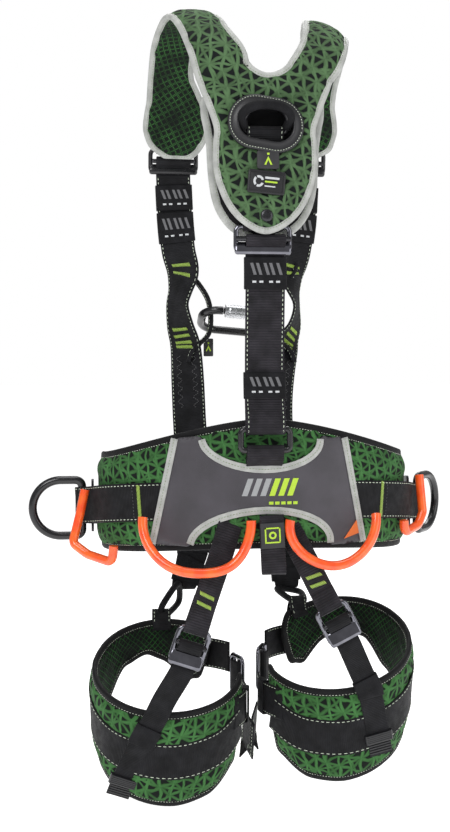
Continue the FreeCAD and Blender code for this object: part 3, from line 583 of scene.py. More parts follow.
def marks(name, shapes, at, material, body, lift, thickness):
    """Thin printed or moulded shapes. Each is a list of (s, u) corners."""
    points, faces = [], []
    for shape in shapes:
        n, base = len(shape), len(points)
        low = [at(s, u, lift - thickness) for s, u in shape]
        high = [at(s, u, lift + thickness) for s, u in shape]
        points += low + high
        faces += [(base + k, base + (k + 1) % n, base + n + (k + 1) % n, base + n + k) for k in range(n)]
        faces += [tuple(base + k for k in range(n))[::-1], tuple(base + n + k for k in range(n))]
    return outward(make(name, points, faces, material, body, smooth=False))


def bar(s, u, length, width, slant=0.0):
    """Corners of a slanted bar."""
    return [(s - length / 2, u - width / 2 - slant), (s + length / 2, u - width / 2 + slant),
            (s + length / 2, u + width / 2 + slant), (s - length / 2, u + width / 2 - slant)]


# ---------------------------------------------------------------- straps
SELVEDGE = [(-1.0, 0.0), (-0.985, 0.7), (-0.93, 1.0), (-0.84, 0.92), (-0.5, 0.88), (0, 0.86), (0.5, 0.88),
            (0.84, 0.92), (0.93, 1.0), (0.985, 0.7), (1.0, 0.0)]
EDGE_LINE = 2.6                    # from the webbing's edge to its line of stitches


def strap(name, path, across, width, thickness, body, material=None, replaces=()):
    """Webbing along a path. Returns its object and its Strip."""
    strip = Strip(path, across, width)
    half = thickness / 2
    section = [(u, lift * half) for u, lift in SELVEDGE]
    section += [(u, -lift * half) for u, lift in SELVEDGE[-2:0:-1]]
    rings = strip.rings(section)
    points, faces = skin(rings)
    cloth = [(u * w / 2, s, lift) for s, w in zip(strip.s, strip.w) for u, lift in section]
    obj = outward(make(name, points, faces, material or WEBBING, body, cloth))
    if replaces:
        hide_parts(*replaces)
    return obj, strip


def edge_stitches(name, strip, thickness, body, start=4.0, end=None, sides=(-1, 1), stitch=3.0, gap=2.2):
    """A dashed line near each edge, on the chosen faces."""
    end = strip.s[-1] - 4 if end is None else end
    at = np.arange(start, end, 4.0)
    segments = []
    for face in sides:
        for edge in (-1, 1):
            line = [(s, edge * (np.interp(s, strip.s, strip.w) / 2 - EDGE_LINE),
                     face * thickness / 2) for s in at]
            segments += dashes(line, stitch, gap)
    threads(name, segments, strip.at, WHITE_THREAD, body)


def stitched(name, path, across, width, thickness, body, **more):
    """Webbing with a line of stitches near both edges, on both faces."""
    _, strip = strap(name, path, across, width, thickness, body, **more)
    edge_stitches(name + "_stitching", strip, thickness, body)
    return strip


def keeper(name, strip, s0, s1, core, body, wall=1.2):
    """Elastic band round a strap, its ends slightly gathered."""
    rings = []
    stations = [(s0, 0.0), (s0, 0.8), (s0 + 1.2, 1.0)]
    stations += [(s, 1.0) for s in np.arange(s0 + 5, s1 - 4, 4.0)] + [(s1 - 1.2, 1.0), (s1, 0.8), (s1, 0.0)]
    cloth = []
    for s, grow in stations:
        w = np.interp(s, strip.s, strip.w) + 1.0 + 2 * wall * grow
        h = core + 2 * wall * grow + 0.35 * math.sin(s * 0.9) * grow
        loop = rounded_rectangle(w, h, min(h / 2 - 0.05, 2.2), 3)
        rings.append(np.array([strip.at(s, u, lift) for u, lift in loop]))
        cloth += [(u, s, lift) for u, lift in loop]
    points, faces = skin(rings, closed=True)
    return outward(make(name, points, faces, ELASTIC, body, cloth))


# ---------------------------------------------------------------- pads
def inside(points, loop):
    """Which points lie in a closed outline."""
    x, y = points[:, 0], points[:, 1]
    hit = np.zeros(len(points), bool)
    for (x0, y0), (x1, y1) in zip(loop, np.roll(loop, -1, axis=0)):
        crosses = (y0 > y) != (y1 > y)
        if y0 != y1:
            hit ^= crosses & (x < x0 + (x1 - x0) * (y - y0) / (y1 - y0))
    return hit


def distance(points, loops):
    """Distance to the nearest outline."""
    best = np.full(len(points), 1e9)
    for loop in loops:
        for a, b in zip(loop, np.roll(loop, -1, axis=0)):
            d = b - a
            t = np.clip(((points - a) @ d) / max(d @ d, 1e-9), 0, 1)
            best = np.minimum(best, np.linalg.norm(points - a - t[:, None] * d, axis=1))
    return best


class Pad:
    """A flat pattern laid on a surface and stuffed. place(x, y, lift) gives a point of the surface."""

    CLAMP, TAPE = 2.3, 7.0            # half thickness under the edge tape, and the tape's width
    CREST = 18.0                      # distance over which the pad rises to its full thickness
    PRESSURE, FRAMES = 4.0, 20        # of the filling

    def __init__(self, name, outline, place, thickness, holes=(), pitch=6.0, pinned=None):
        self.name, self.place, self.half, self.pinned = name, place, thickness / 2, pinned
        self.loops = [resample(loop, pitch, 2, closed=True) for loop in (outline, *holes)]
        points = np.concatenate(self.loops)
        edges, base = [], 0
        for loop in self.loops:
            n = len(loop)
            edges += [(base + k, base + (k + 1) % n) for k in range(n)]
            base += n
        low, high = self.loops[0].min(axis=0), self.loops[0].max(axis=0)
        rows = np.arange(low[1], high[1], pitch * 0.866)
        columns = np.arange(low[0], high[0], pitch)
        grid = np.array([(x + (k % 2) * pitch / 2, y) for k, y in enumerate(rows) for x in columns])
        grid = grid[self.within(grid)]
        grid = grid[distance(grid, self.loops) > pitch * 0.6]
        all_points = [Vector(p) for p in np.concatenate([points, grid])]
        flat, _, faces, _, _, _ = delaunay_2d_cdt(all_points, edges, [], 0, 1e-4)
        self.flat = np.array([tuple(p) for p in flat])
        faces = np.array(faces)
        self.faces = faces[self.within(self.flat[faces].mean(axis=1))]
        self.edge = distance(self.flat, self.loops)

    def within(self, points):
        ok = inside(points, self.loops[0])
        for hole in self.loops[1:]:
            ok &= ~inside(points, hole)
        return ok

    def height(self, edge):
        rise = np.clip((edge - self.TAPE) / self.CREST, 0, 1)
        return self.CLAMP + (self.half - self.CLAMP) * np.sqrt(1 - (1 - rise) ** 2)

    def build(self, materials, cap, extra=0.03):
        """Outer and inner sheet sewn together at the border, then filled."""
        n = len(self.flat)
        border = self.edge < 1e-3
        tall = np.where(border, 0.0, self.height(self.edge))
        back = np.arange(n)
        inner = np.flatnonzero(~border)
        back[inner] = n + np.arange(len(inner))
        points = [self.place(x, y, h) for (x, y), h in zip(self.flat, tall)]
        points += [self.place(*self.flat[k], -tall[k]) for k in inner]
        cloth = [(x, y, 1) for x, y in self.flat] + [(*self.flat[k], -1) for k in inner]
        front = self.faces
        faces = [tuple(f) for f in front] + [tuple(back[f])[::-1] for f in front]
        obj = make(self.name, points, faces, materials, None, cloth)
        obj.data.polygons.foreach_set("material_index", [0] * len(front) + [1] * len(front))
        outward(obj)
        held = self.edge < self.TAPE + 2.0
        if self.pinned:
            held |= np.array([self.pinned(x, y) for x, y in self.flat])
        self.fill(obj, np.flatnonzero(np.concatenate([held, held[inner]])), cap, extra)
        return modify(obj, "SUBSURF", levels=1, render_levels=1)

    def fill(self, obj, held, cap, extra):
        """Blows the pad up, with its sewn points held, and lets no point move further than cap."""
        group = obj.vertex_groups.new(name="held")
        group.add([int(k) for k in held], 1.0, "REPLACE")
        cloth = obj.modifiers.new("Cloth", "CLOTH")
        settings = cloth.settings
        settings.quality = 5
        settings.use_pressure = True
        settings.uniform_pressure_force = self.PRESSURE
        settings.vertex_group_mass = "held"
        settings.shrink_min = -extra
        settings.effector_weights.gravity = 0.0
        cloth.collision_settings.use_collision = False
        start = np.array([v.co for v in obj.data.vertices])
        for k in range(1, self.FRAMES + 1):
            bpy.context.scene.frame_set(k)
        graph = bpy.context.evaluated_depsgraph_get()
        done = np.array([v.co for v in obj.evaluated_get(graph).data.vertices])
        move = done - start
        far = np.linalg.norm(move, axis=1, keepdims=True)
        move *= np.minimum(1, cap * MM / np.maximum(far, 1e-9))
        obj.modifiers.clear()
        obj.vertex_groups.clear()
        obj.data.vertices.foreach_set("co", (start + move).ravel())
        obj.data.update()

    def inward(self, loop):
        """Direction into the pad at each point of an outline."""
        n = -beside(loop)
        probe = loop + n * 0.8
        flip = np.where(self.within(probe), 1.0, -1.0)
        return n * flip[:, None]

    def tape(self, name, material, body, thread, reach=0.0):
        """Tape folded over the outer border, and its line of stitches."""
        step = 3.0
        loop = resample(catmull(self.loops[0], 2, closed=True), step, 2, closed=True)
        into = self.inward(loop)
        c, w = self.CLAMP + 0.9, self.TAPE + reach
        section = [(w, c - 1.4), (w + 0.3, c - 0.2), (w - 0.6, c + 0.25), (w / 2, c), (1.0, c - 0.2),
                   (-0.8, c * 0.6), (-1.5, 0.0)]
        section += [(e, -lift) for e, lift in section[-2::-1]]
        rings, cloth, s = [], [], 0.0
        for k, ((x, y), (nx, ny)) in enumerate(zip(loop, into)):
            ripple = 1 + 0.05 * math.sin(k * 0.83) * math.sin(k * 0.31)
            ring = [self.place(x + nx * e, y + ny * e, lift * ripple) for e, lift in section]
            rings.append(np.array(ring))
            cloth += [(e, s, lift) for e, lift in section]
            s += step
        points, faces = skin(rings, closed=True)
        outward(make(name, points, faces, material, body, cloth))
        segments, seam = [], w - 1.7
        for face in (1, -1):
            line = [(x + nx * seam, y + ny * seam, face * (c + 0.1)) for (x, y),
                    (nx, ny) in zip(loop, into)]
            segments += dashes(line + line[:1], 2.1, 1.3)
        threads(name + "_stitching", segments, self.place, thread, body, FINE_THREAD)


def finish_pad(obj, body, replaces):
    """Hangs a pad on the body it rides on and hides the CAD parts it stands for."""
    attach(obj, body)
    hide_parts(*replaces)


# ---------------------------------------------------------------- belt
BELT_TOP, BELT_LOW = 88.0, -60.0          # the pad's edges in the middle of the back
# height of the webbing's middle line at the wearer's axis, and its fall forward
BELT_MIDDLE, BELT_SLOPE = -24.0, 0.155


def belt_edges(deg):
    """Heights of the pad's top and bottom edges, which close in towards its two ends."""
    s = math.sin(math.radians(min(abs(deg), 90.0)))
    past = max(0.0, (abs(deg) - 90) / (BELT_END - 90))
    top = BELT_TOP - 46 * s ** 1.5 - 14 * past - 22 * past ** 4
    return top, BELT_LOW - 14 * s ** 2 - 3 * past + 14 * past ** 4


def belt_line(y):
    """Height of the belt webbing's middle line."""
    return BELT_MIDDLE - BELT_SLOPE * y


BELT_DEGREES = np.arange(-130, 130.5, 1.0)
BELT_LENGTHS = lengths(np.array([around(d, BELT_A, BELT_B) for d in BELT_DEGREES]), 2)
BELT_LENGTHS -= BELT_LENGTHS[len(BELT_LENGTHS) // 2]


def ellipse_normal(deg, a, b):
    r = math.radians(deg)
    return unit((-math.sin(r) / a, -math.cos(r) / b, 0))


def belt_place(x, z, lift):
    """x runs round the belt from the middle of the back, towards the wearer's right."""
    deg = -np.interp(x, BELT_LENGTHS, BELT_DEGREES)
    return np.array((*around(deg, BELT_A, BELT_B), z)) + ellipse_normal(deg, BELT_A, BELT_B) * lift


def belt_pad():
    """Waist padding and its binding, pressed flat under the side webbing."""
    degrees = np.linspace(-BELT_END, BELT_END, 61)
    x = [-np.interp(d, BELT_DEGREES, BELT_LENGTHS) for d in degrees]
    top = [(u, belt_edges(d)[0]) for u, d in zip(x, degrees)]
    bottom = [(u, belt_edges(d)[1]) for u, d in zip(x, degrees)]
    bulge = 8.0
    right = (x[0] + bulge, 0.5 * (top[0][1] + bottom[0][1]))
    left = (x[-1] - bulge, 0.5 * (top[-1][1] + bottom[-1][1]))
    outline = np.array(top + [left] + bottom[::-1] + [right])
    beside_panel, webbing_middle, webbing_reach = 96.0, -10.0, WEB / 2 + 3

    def under_webbing(u, z):
        return abs(u) > beside_panel and abs(z - webbing_middle) < webbing_reach

    pad = Pad("belt_pad_cover", outline, belt_place, BELT_T, pinned=under_webbing)
    finish_pad(pad.build([PRINT_DARK, MESH], 3.0), "harness", ["belt_pad"])
    pad.tape("belt_binding", BLACK_TAPE, "harness", WHITE_THREAD, reach=1.0)


def panel_place(x, z, lift=0.0):
    """A point of the overlay's surface at a distance from the wearer's middle plane."""
    a, b = BELT_A + PANEL_RISE, BELT_B + PANEL_RISE
    y = -b * math.sqrt(1 - (x / a) ** 2)
    return np.array((x, y, z)) + unit((x / a ** 2, y / b ** 2, 0)) * lift


PANEL_CORNERS = ((103, 66), (128, -57))   # half width and height of the upper and the lower corners


def panel_outline():
    """The curved top and bottom edges, between the corners."""
    def scoop(x0, z0, depth, x_mid):
        """Half ellipse between two mirrored points."""
        r = np.radians(np.linspace(180, 0, 19))
        return [(PANEL_X + x_mid * math.sin(t) + x0 * math.cos(t), z0 + depth * math.sin(t)) for t in r]

    top = scoop(68, 70, -34, 4)
    bottom = scoop(81, -60, 40, 6)
    return top, bottom


class Patch(Pad):
    """A thin flat overlay, its edge only slightly pressed."""
    CLAMP, TAPE, CREST = 0.9, 1.0, 5.0


def back_panel():
    """Smooth overlay on the back of the belt, its four reflective tapes and its printed marks."""
    top, bottom = panel_outline()
    (half_top, high), (half_low, low) = PANEL_CORNERS
    left_top, left_low = (PANEL_X - half_top, high), (PANEL_X - half_low, low)
    right_top, right_low = (PANEL_X + half_top, high), (PANEL_X + half_low, low)
    outline = np.array([left_low, left_top] + top + [right_top, right_low] + bottom[::-1])
    patch = Patch("belt_back_overlay", outline, panel_place, 3.4, pitch=5.0)
    finish_pad(patch.build([VINYL, LINING], 1.2, 0.0), "harness", ["belt_back_panel"])
    edges = {"left": [left_top, left_low], "right": [right_top, right_low], "top": top, "bottom": bottom}
    for name, line in edges.items():
        line = resample(np.array(line), 4.0, 2)
        toward = {"left": (5, 0), "right": (-5, 0), "top": (0, -4.5), "bottom": (0, 4.5)}[name]
        path = [panel_place(x + toward[0], z + toward[1], 2.2) for x, z in line]
        t = along(np.array(path))
        normal = np.array([unit(panel_place(x, z, 1) - panel_place(x, z)) for x, z in line])
        across = np.cross(normal, t)
        _, strip = strap(f"panel_{name}_tape", path, across, 8.6, 1.5, "harness", SILVER_TAPE)
        side = 1 if np.dot(strip.n[0], normal[0]) > 0 else -1
        line = [(s, 0.0, side * 0.75) for s in strip.s]
        threads(f"panel_{name}_stitching", dashes(line, 2.0, 1.5), strip.at, LINE_THREAD, "harness", 0.36)

    wide = 3.2
    skew = [[(c + x + 0.35 * (z - 12), z) for x, z in ((-wide, 1), (wide, 1), (wide, 21), (-wide, 21))]
            for c in np.arange(PANEL_X - 16, PANEL_X + 44, 10.4)]
    marks("panel_stripes_grey", skew[:3], panel_place, GREY_LABEL, "harness", 2.1, 0.25)
    marks("panel_stripes_lime", skew[3:6], panel_place, LIME_PRINT, "harness", 2.1, 0.25)
    dash = [[(x, -9), (x + 5, -9), (x + 5, -5.6),
             (x, -5.6)] for x in np.arange(PANEL_X + 8, PANEL_X + 38, 7)]
    marks("panel_dashes", dash, panel_place, LIME_PRINT, "harness", 2.1, 0.25)
    corner = PANEL_X + 98
    marks("corner_tag", [[(corner, -52), (corner + 21, -46), (corner + 20, -26)]], panel_place,
          ORANGE_PRINT, "harness", 2.4, 0.35)


def upright_path(plan):
    return [(x, y, belt_line(y)) for x, y in plan]


def side_webbing(side):
    """Webbing from the panel's edge round the belt, folded over the hip bracket."""
    a, b = BELT_A + BELT_T / 2 + 9.0, BELT_B + BELT_T / 2 + 8.0
    wrap = 5.2 + 0.8 + WEB_T / 2
    rise = {32: 6.6, 39: 7.4, 47: 10.0, 54: 12.4, 61: 14.6, 68: 15.8, 75: 16.0}
    outer = [around(deg, BELT_A + lift, BELT_B + lift) for deg, lift in rise.items()] + [(-205, -14)]
    fold = arc((-212, 0), wrap, 215, 20, 8)
    inner = [(-200, 1.6), (-195.2, -2.5)] + [around(deg, a - 5.8, b - 4.6) for deg in (84, 76, 68, 61)]
    path = [(-side * x, y, z) for x, y, z in upright_path(outer + fold + inner)]
    name = SIDE_NAME[side]
    _, strip = strap(f"{name}_belt_webbing", path, UP * -side, WEB, WEB_T, "harness")
    face = strip_face(strip)
    edge_stitches(f"{name}_belt_webbing_stitching", strip, WEB_T, "harness", sides=(face,))
    lift = face * (WEB_T / 2 + 0.1)
    threads(f"{name}_belt_bartack", bartack(47, 42, 5.0, lift), strip.at, LIME_THREAD, "harness", 0.55)
    rows = [(46 + 9, u, lift) for u in np.linspace(-19, 19, 12)]
    threads(f"{name}_belt_box_stitch", dashes(rows, 2.2, 1.6), strip.at, BLACK_THREAD, "harness")


def strip_face(strip):
    """+1 or -1, whichever face of the strip looks away from the wearer's axis at its start."""
    return 1 if np.dot(strip.n[0][:2], strip.p[0][:2]) > 0 else -1


def front_webbing(side):
    """Webbing from the hip bracket to the belt adjuster, on to the ventral ring, and its free tail."""
    bar_y = 14.0
    wrap = 2.5 + 1.0 + WEB_T / 2
    first = [(-199 + wrap, bar_y + 14)] + arc((-199, bar_y), wrap, 0, -180, 6)
    first += [around(deg, 203, 138) for deg in (106, 116, 126, 135.6)]
    ring_x, ring_y = -25.0, 138.0
    wrap = 4.5 + 0.4 + WEB_T / 2
    second = [around(deg, 203, 138) for deg in (150.4, 157, 163)]
    second += [(ring_x - 9, ring_y - wrap)] + arc((ring_x, ring_y), wrap, 270, 450, 6)
    second += [(ring_x - 9, ring_y + wrap), (ring_x - 27, ring_y + 3.4)]
    name = SIDE_NAME[side]
    tail = [around(deg, 206.5, 141.5) for deg in (133, 138, 143, 149, 155)]
    for part, plan in (("hip", first), ("ring", second), ("tail", tail)):
        path = [(-side * x, y, z) for x, y, z in upright_path(plan)]
        stitched(f"{name}_front_webbing_{part}", path, UP * -side, WEB, WEB_T, "harness")


BACK_X = -3.0
BACK_BUCKLE = (-6, -139.6, 292.0)
WAIST_RING_Y, WAIST_RING_LOW, WAIST_RING_HIGH = -143.5, 54.0, 78.0    # the ring's lower and upper bars
WAIST_WRAP = 3.6 + 0.4 + WEB_T / 2        # ring bar's radius, gap and half the webbing


def back_profile(x, profile, width, name, **more):
    """Webbing whose path is given as (Y, Z) in one upright plane."""
    return strap(name, [(x, y, z) for y, z in profile], RIGHT, width, WEB_T, "harness", **more)


def waist_tab():
    """Webbing from under the panel round the waist ring's lower bar."""
    profile = [(-128.4, 22), (-129.0, 33), (-133.0, 42)]
    profile += arc((WAIST_RING_Y, WAIST_RING_LOW), WAIST_WRAP, -20, 200, 8)
    profile += [(-145.0, 44), (-137.5, 38.5), (-131.5, 33.5), (-130.4, 24)]
    back_profile(BACK_X, profile, WEB - 3, "waist_tab_webbing", material=RIBBED, replaces=["waist_tab"])


# ---------------------------------------------------------------- back strap
def back_strap():
    """Webbing from the waist ring to the back adjuster, the short length above it, and their keepers."""
    run = [(-141, 273), (-140, 250), (-137, 205), (-134, 150), (-138, 112), (-148.4, 90)]
    profile = run + arc((WAIST_RING_Y, WAIST_RING_HIGH), WAIST_WRAP, 190, 380, 8)
    profile += [(-137.6, 90), (-133.2, 112), (-130.6, 132)]
    buckle = local(BACK_BUCKLE, RIGHT, UP)
    fold = [(-3.2, -14), (-1.5, -6), (1.2, 0.5), (4.7, 4.4), (8.2, 2.6), (8.9, -1.5), (6.0, -5.5),
            (2.2, -9)]
    lead = [tuple(buckle(0, y, z)[1:]) for z, y in fold[::-1]]
    _, strip = back_profile(BACK_X, lead + [(-137.0, 281)] + run[1:] + profile[len(run):], WEB,
                            "back_strap_lower", material=RIBBED, replaces=["back_strap"])
    face = 1 if strip.n[len(strip.n) // 2][1] < 0 else -1
    edge_stitches("back_strap_lower_stitching", strip, WEB_T, "harness", start=3, end=strip.s[-1] - 62,
                  sides=(face,))
    upper = [(-136.0, 344), (-138.4, 326), (-141.6, 312)]
    rail = buckle(0, 14, 0)
    upper += arc((rail[1], rail[2]), 3.9, 190, 350, 6) + [(-135.4, 312), (-132.6, 330)]
    back_profile(BACK_BUCKLE[0], upper, WEB, "back_strap_upper", material=RIBBED)
    starts = {"upper": (271, 236), "lower": (142, 106)}
    for name, (high, low) in starts.items():
        s0, s1 = (strip.s[np.argmin(np.abs(strip.p[:len(strip.p) * 2 // 3, 2] - z))] for z in (high, low))
        body = keeper(f"back_strap_keeper_{name}", strip, s0, s1, WEB_T + 2.4, "harness")
        lift = face * (WEB_T / 2 + 2.6)
        keeper_marks(f"back_keeper_marks_{name}", strip, (s0 + s1) / 2, lift, s1 - s0)
        if name == "upper":
            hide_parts("back_strap_keepers")


def keeper_marks(name, strip, s, lift, length):
    """Slanted grey bars and a row of small pale dashes."""
    tall = length * 0.36
    grey = [bar(s - length * 0.13, u, tall, 3.4, 2.0) for u in (-14, -7.5, 1, 7.5, 15.5)]
    pale = [bar(s + length * 0.26, u, 2.2, 4.4) for u in (-13, -5, 6, 14)]
    marks(name + "_grey", grey, strip.at, GREY_PRINT, "harness", lift, 0.2)
    marks(name + "_pale", pale, strip.at, WHITE_PRINT, "harness", lift, 0.2)


# ---------------------------------------------------------------- hardware
def local(origin, x_dir, y_dir):
    """Function that turns a place in a piece's own axes into a point."""
    x, y = unit(x_dir), np.asarray(y_dir, float)
    z = unit(np.cross(x, y))
    y = np.cross(z, x)
    origin = np.asarray(origin, float)
    return lambda a, b, c=0.0: origin + x * a + y * b + z * c


def frame_piece(name, at, w, h, body, replaces, plate_length=11.0, metal=None):
    """Forged adjuster: a rounded frame, and a smooth chromed lip that rolls outward at its lower end."""
    loop = resample(np.array(rounded_rectangle(w - 5.4, h - 5.4, 6.0)), 1.6, 2, closed=True)
    out = beside(loop)
    section = [(2.9 * math.cos(a), 2.2 * math.sin(a)) for a in circle(12)]
    rings = [np.array([at(x + nx * e, y + ny * e, z) for e, z in section]) for (x, y),
             (nx, ny) in zip(loop, out)]
    points, faces = skin(rings, closed=True)
    metal = metal or CHROME
    ring = outward(make(name, points, faces, metal, body))
    if replaces:
        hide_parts(*replaces)
    half = w / 2 - 1.0
    profile = [(-h / 2 + plate_length + 3.0, 1.0), (-h / 2 + plate_length, 2.6), (-h / 2 + 6.5, 4.4),
               (-h / 2 + 2.6, 5.0), (-h / 2 - 0.2, 3.4), (-h / 2 + 0.2, 0.6), (-h / 2 + 3.2, -0.8),
               (-h / 2 + 7.5, 1.2), (-h / 2 + plate_length, 0.2)]
    profile = catmull(profile, 4, closed=True)
    stations = [(-half, 0.55), (-half + 0.6, 0.82), (-half + 2.5, 1.0)]
    ends = [(-x, k) for x, k in stations[::-1]]
    stations += [(x, 1.0) for x in np.linspace(-half + 6, half - 6, 7)] + ends
    middle = profile.mean(axis=0)
    rings = []
    for x, grow in stations:
        crown = 1 + 0.10 * (1 - (x / half) ** 2)
        rings.append(np.array([at(x, *(middle + (q - middle) * grow * (1, crown))) for q in profile]))
    points, faces = skin(rings)
    outward(make(name + "_lip", points, faces, metal, body))


def repaint(material, *names):
    """Gives CAD pieces that stay visible their material."""
    for name in names:
        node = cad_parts[name]
        for mesh_slot in node.material_slots:
            mesh_slot.material = material


def wire(name, path, r, material, body, closed=False, sides=12):
    """Round bar along a path."""
    step = r * 0.6
    rows = resample(catmull(path, 4, closed), step, 3, closed)
    t = along(rows, closed)
    side = unit(np.cross(t[0], (0.13, 0.37, 0.92)))
    rings, cloth = [], []
    s = 0.0
    for p, d in zip(rows, t):
        side = unit(side - d * np.dot(side, d))
        other = np.cross(d, side)
        ring = []
        for k in range(sides):
            a = 2 * math.pi * k / sides
            ring.append(p + (side * math.cos(a) + other * math.sin(a)) * r)
            cloth.append((a * r, s, 0))
        rings.append(np.array(ring))
        s += step
    points, faces = skin(rings, closed=closed)
    return outward(make(name, points, faces, material, body, cloth))


# ---------------------------------------------------------------- shoulder yoke
YOKE_UP = unit(YOKE_HIGH - YOKE_LOW)
YOKE_OUT = unit(np.cross(RIGHT, YOKE_UP))
SHOULDER = [(57, -137, 483, 47), (63, -130, 503, 50), (71, -107, 534, 54), (79, -62, 558, 56),
            (86, -12, 563, 56), (95, 34, 545, 54), (97, 63, 514, 56), (92, 78, 486, 72), (89, 84, 460, 84),
            (88, 86, 441, 77), (87, 87, 427, 58), (87, 88, 417, 30)]
DROOP, ROLL, INSET = 0.83, 20.0, 9.0
CUT_MIDDLE, CUT_ACROSS = np.array((55.5, 478.5)), unit((43.0, -17.0))
CUT_AHEAD = np.array((-CUT_ACROSS[1], CUT_ACROSS[0]))


def turned(v, axis, deg):
    """v turned about a unit axis."""
    a = math.radians(deg)
    return v * math.cos(a) + np.cross(axis, v) * math.sin(a) + axis * np.dot(axis, v) * (1 - math.cos(a))


class Arm:
    """The strap of padding from the yoke over one shoulder to the chest."""

    def __init__(self, side):
        self.side = side
        hangs = side == RIGHT_SIDE
        rows = []
        for x, y, z, w in SHOULDER:
            lift = max(0.0, (z - 483) / 80)
            front = min(1.0, max(0.0, (y - 20) / 50))
            top = 483 + 80 * lift * DROOP if hangs and lift else z
            rows.append((side * (x - INSET * front * hangs), y, top, w, ROLL * lift * hangs))
        rows[0] = (*(YOKE_X + side * CUT_MIDDLE[0], *yoke_plane(0, CUT_MIDDLE[1])[1:]), SHOULDER[0][3], 0)
        rows = resample(catmull(rows), 4.0)
        self.p, self.w = rows[:, :3], rows[:, 3]
        self.s = lengths(self.p, 3)
        t = along(self.p)
        flat = unit(np.cross(np.column_stack([0 * self.s, self.p[:, 1] + 20, self.p[:, 2] - 470]), t))
        flat *= np.where(flat[:, :1] < 0, -1, 1)
        flat = np.array([turned(f, d, r) for f, d, r in zip(flat, t, rows[:, 4])])
        base = RIGHT * CUT_ACROSS[0] + YOKE_UP * CUT_ACROSS[1] * side
        share = ease(self.s / 70.0)[:, None]
        flat = unit(base * (1 - share) + flat * share)
        self.a = unit(flat - t * np.sum(flat * t, axis=1, keepdims=True)) * side
        self.n = unit(np.cross(self.a, t)) * side
        self.n = unit(YOKE_OUT * (1 - share) + self.n * share)

    def at(self, s, c, lift):
        p, a, n = [between(s, self.s, m) for m in (self.p, self.a, self.n)]
        return p + unit(a) * c + unit(n) * lift

    def edge(self, sign):
        """Pattern points of one edge, from the yoke to the rounded end."""
        out = []
        flare = 15.0 if self.side == LEFT_SIDE else 5.0
        for s in np.arange(14.0, self.s[-1], 14.0):
            c = sign * np.interp(s, self.s, self.w) / 2 - (flare * (1 - ease(s / 62)) if sign < 0 else 0)
            out.append(CUT_MIDDLE + CUT_AHEAD * s + CUT_ACROSS * c)
        return [(x * self.side, z) for x, z in out]


def yoke_plane(x, z, lift=0.0):
    return YOKE_LOW + RIGHT * x + YOKE_UP * ((z - YOKE_LOW[2]) / YOKE_UP[2]) + YOKE_OUT * lift


ARMS = {side: Arm(side) for side in (LEFT_SIDE, RIGHT_SIDE)}


def yoke_place(x, z, lift):
    """The yoke's flat pattern: its back lies in a plane, and its arms go over the shoulders."""
    arm = ARMS[RIGHT_SIDE if x > 0 else LEFT_SIDE]
    out = np.array((abs(x), z)) - CUT_MIDDLE
    s, c = out @ CUT_AHEAD, out @ CUT_ACROSS
    if s > 0:
        return arm.at(s, c, lift)
    bulge = 4.0 * math.exp(-(x / 44) ** 2 - ((z - 424) / 40) ** 2)
    return yoke_plane(x, z, lift + bulge)


def oval(w, h):
    """Tilted outline about the middle of the dorsal opening."""
    a = math.radians(OPENING_TILT)
    out = []
    for x, y in rounded_rectangle(w, h, h / 2 - 0.01, 8):
        out.append((x * math.cos(a) - y * math.sin(a), OPENING_Z + x * math.sin(a) + y * math.cos(a)))
    return np.array(out)


def yoke():
    """Outer pad with both shoulder arms in one piece, and the mesh-backed liner behind it."""
    half = [(18, 304), (37, 320), (50, 343), (57, 370), (57, 398), (56, 414), (63, 436), (71, 456),
            (76, 469)]
    arms = {}
    for side, arm in ARMS.items():
        outer, inner = arm.edge(1), arm.edge(-1)
        tip = CUT_MIDDLE + CUT_AHEAD * (arm.s[-1] + 1)
        arms[side] = outer + [(tip[0] * side, tip[1])] + inner[::-1]
    notch = [(28, 489), (20.5, 482), (12.5, 478), (4.5, 476.5), (-3.5, 478), (-11, 482), (-18, 489)]
    outline = [(0, 298)] + half + arms[RIGHT_SIDE] + notch + arms[LEFT_SIDE][::-1]
    outline += [(-x, z) for x, z in half[::-1]]
    outline = catmull(np.array(outline, float), 4, closed=True)
    pad = Pad("yoke_and_shoulders", outline, yoke_place, YOKE_T - 1.5,
              holes=[oval(OPENING_W + 5, OPENING_H + 5)])
    pad.TAPE = 5.4
    finish_pad(pad.build([PRINT, MESH], 2.4, 0.045), "harness",
               ["yoke_cover_pad", "left_shoulder_pad", "right_shoulder_pad"])
    pad.tape("yoke_piping", SILVER_TAPE, "harness", LINE_THREAD)

    low = -YOKE_T - 5.0
    half = [(0, 292), (22, 296), (44, 312), (58, 342), (63, 400), (60, 462)]
    outline = catmull(np.array(half + [(-x, z) for x, z in half[:0:-1]], float), 4, closed=True)
    liner = Pad("yoke_liner", outline, lambda x, z, lift: yoke_plane(x, z, low + lift), 10.0)
    finish_pad(liner.build([LINING, MESH], 2.0), "harness", ["yoke_back_pad"])
    liner.tape("yoke_liner_piping", SILVER_TAPE, "harness", LINE_THREAD)


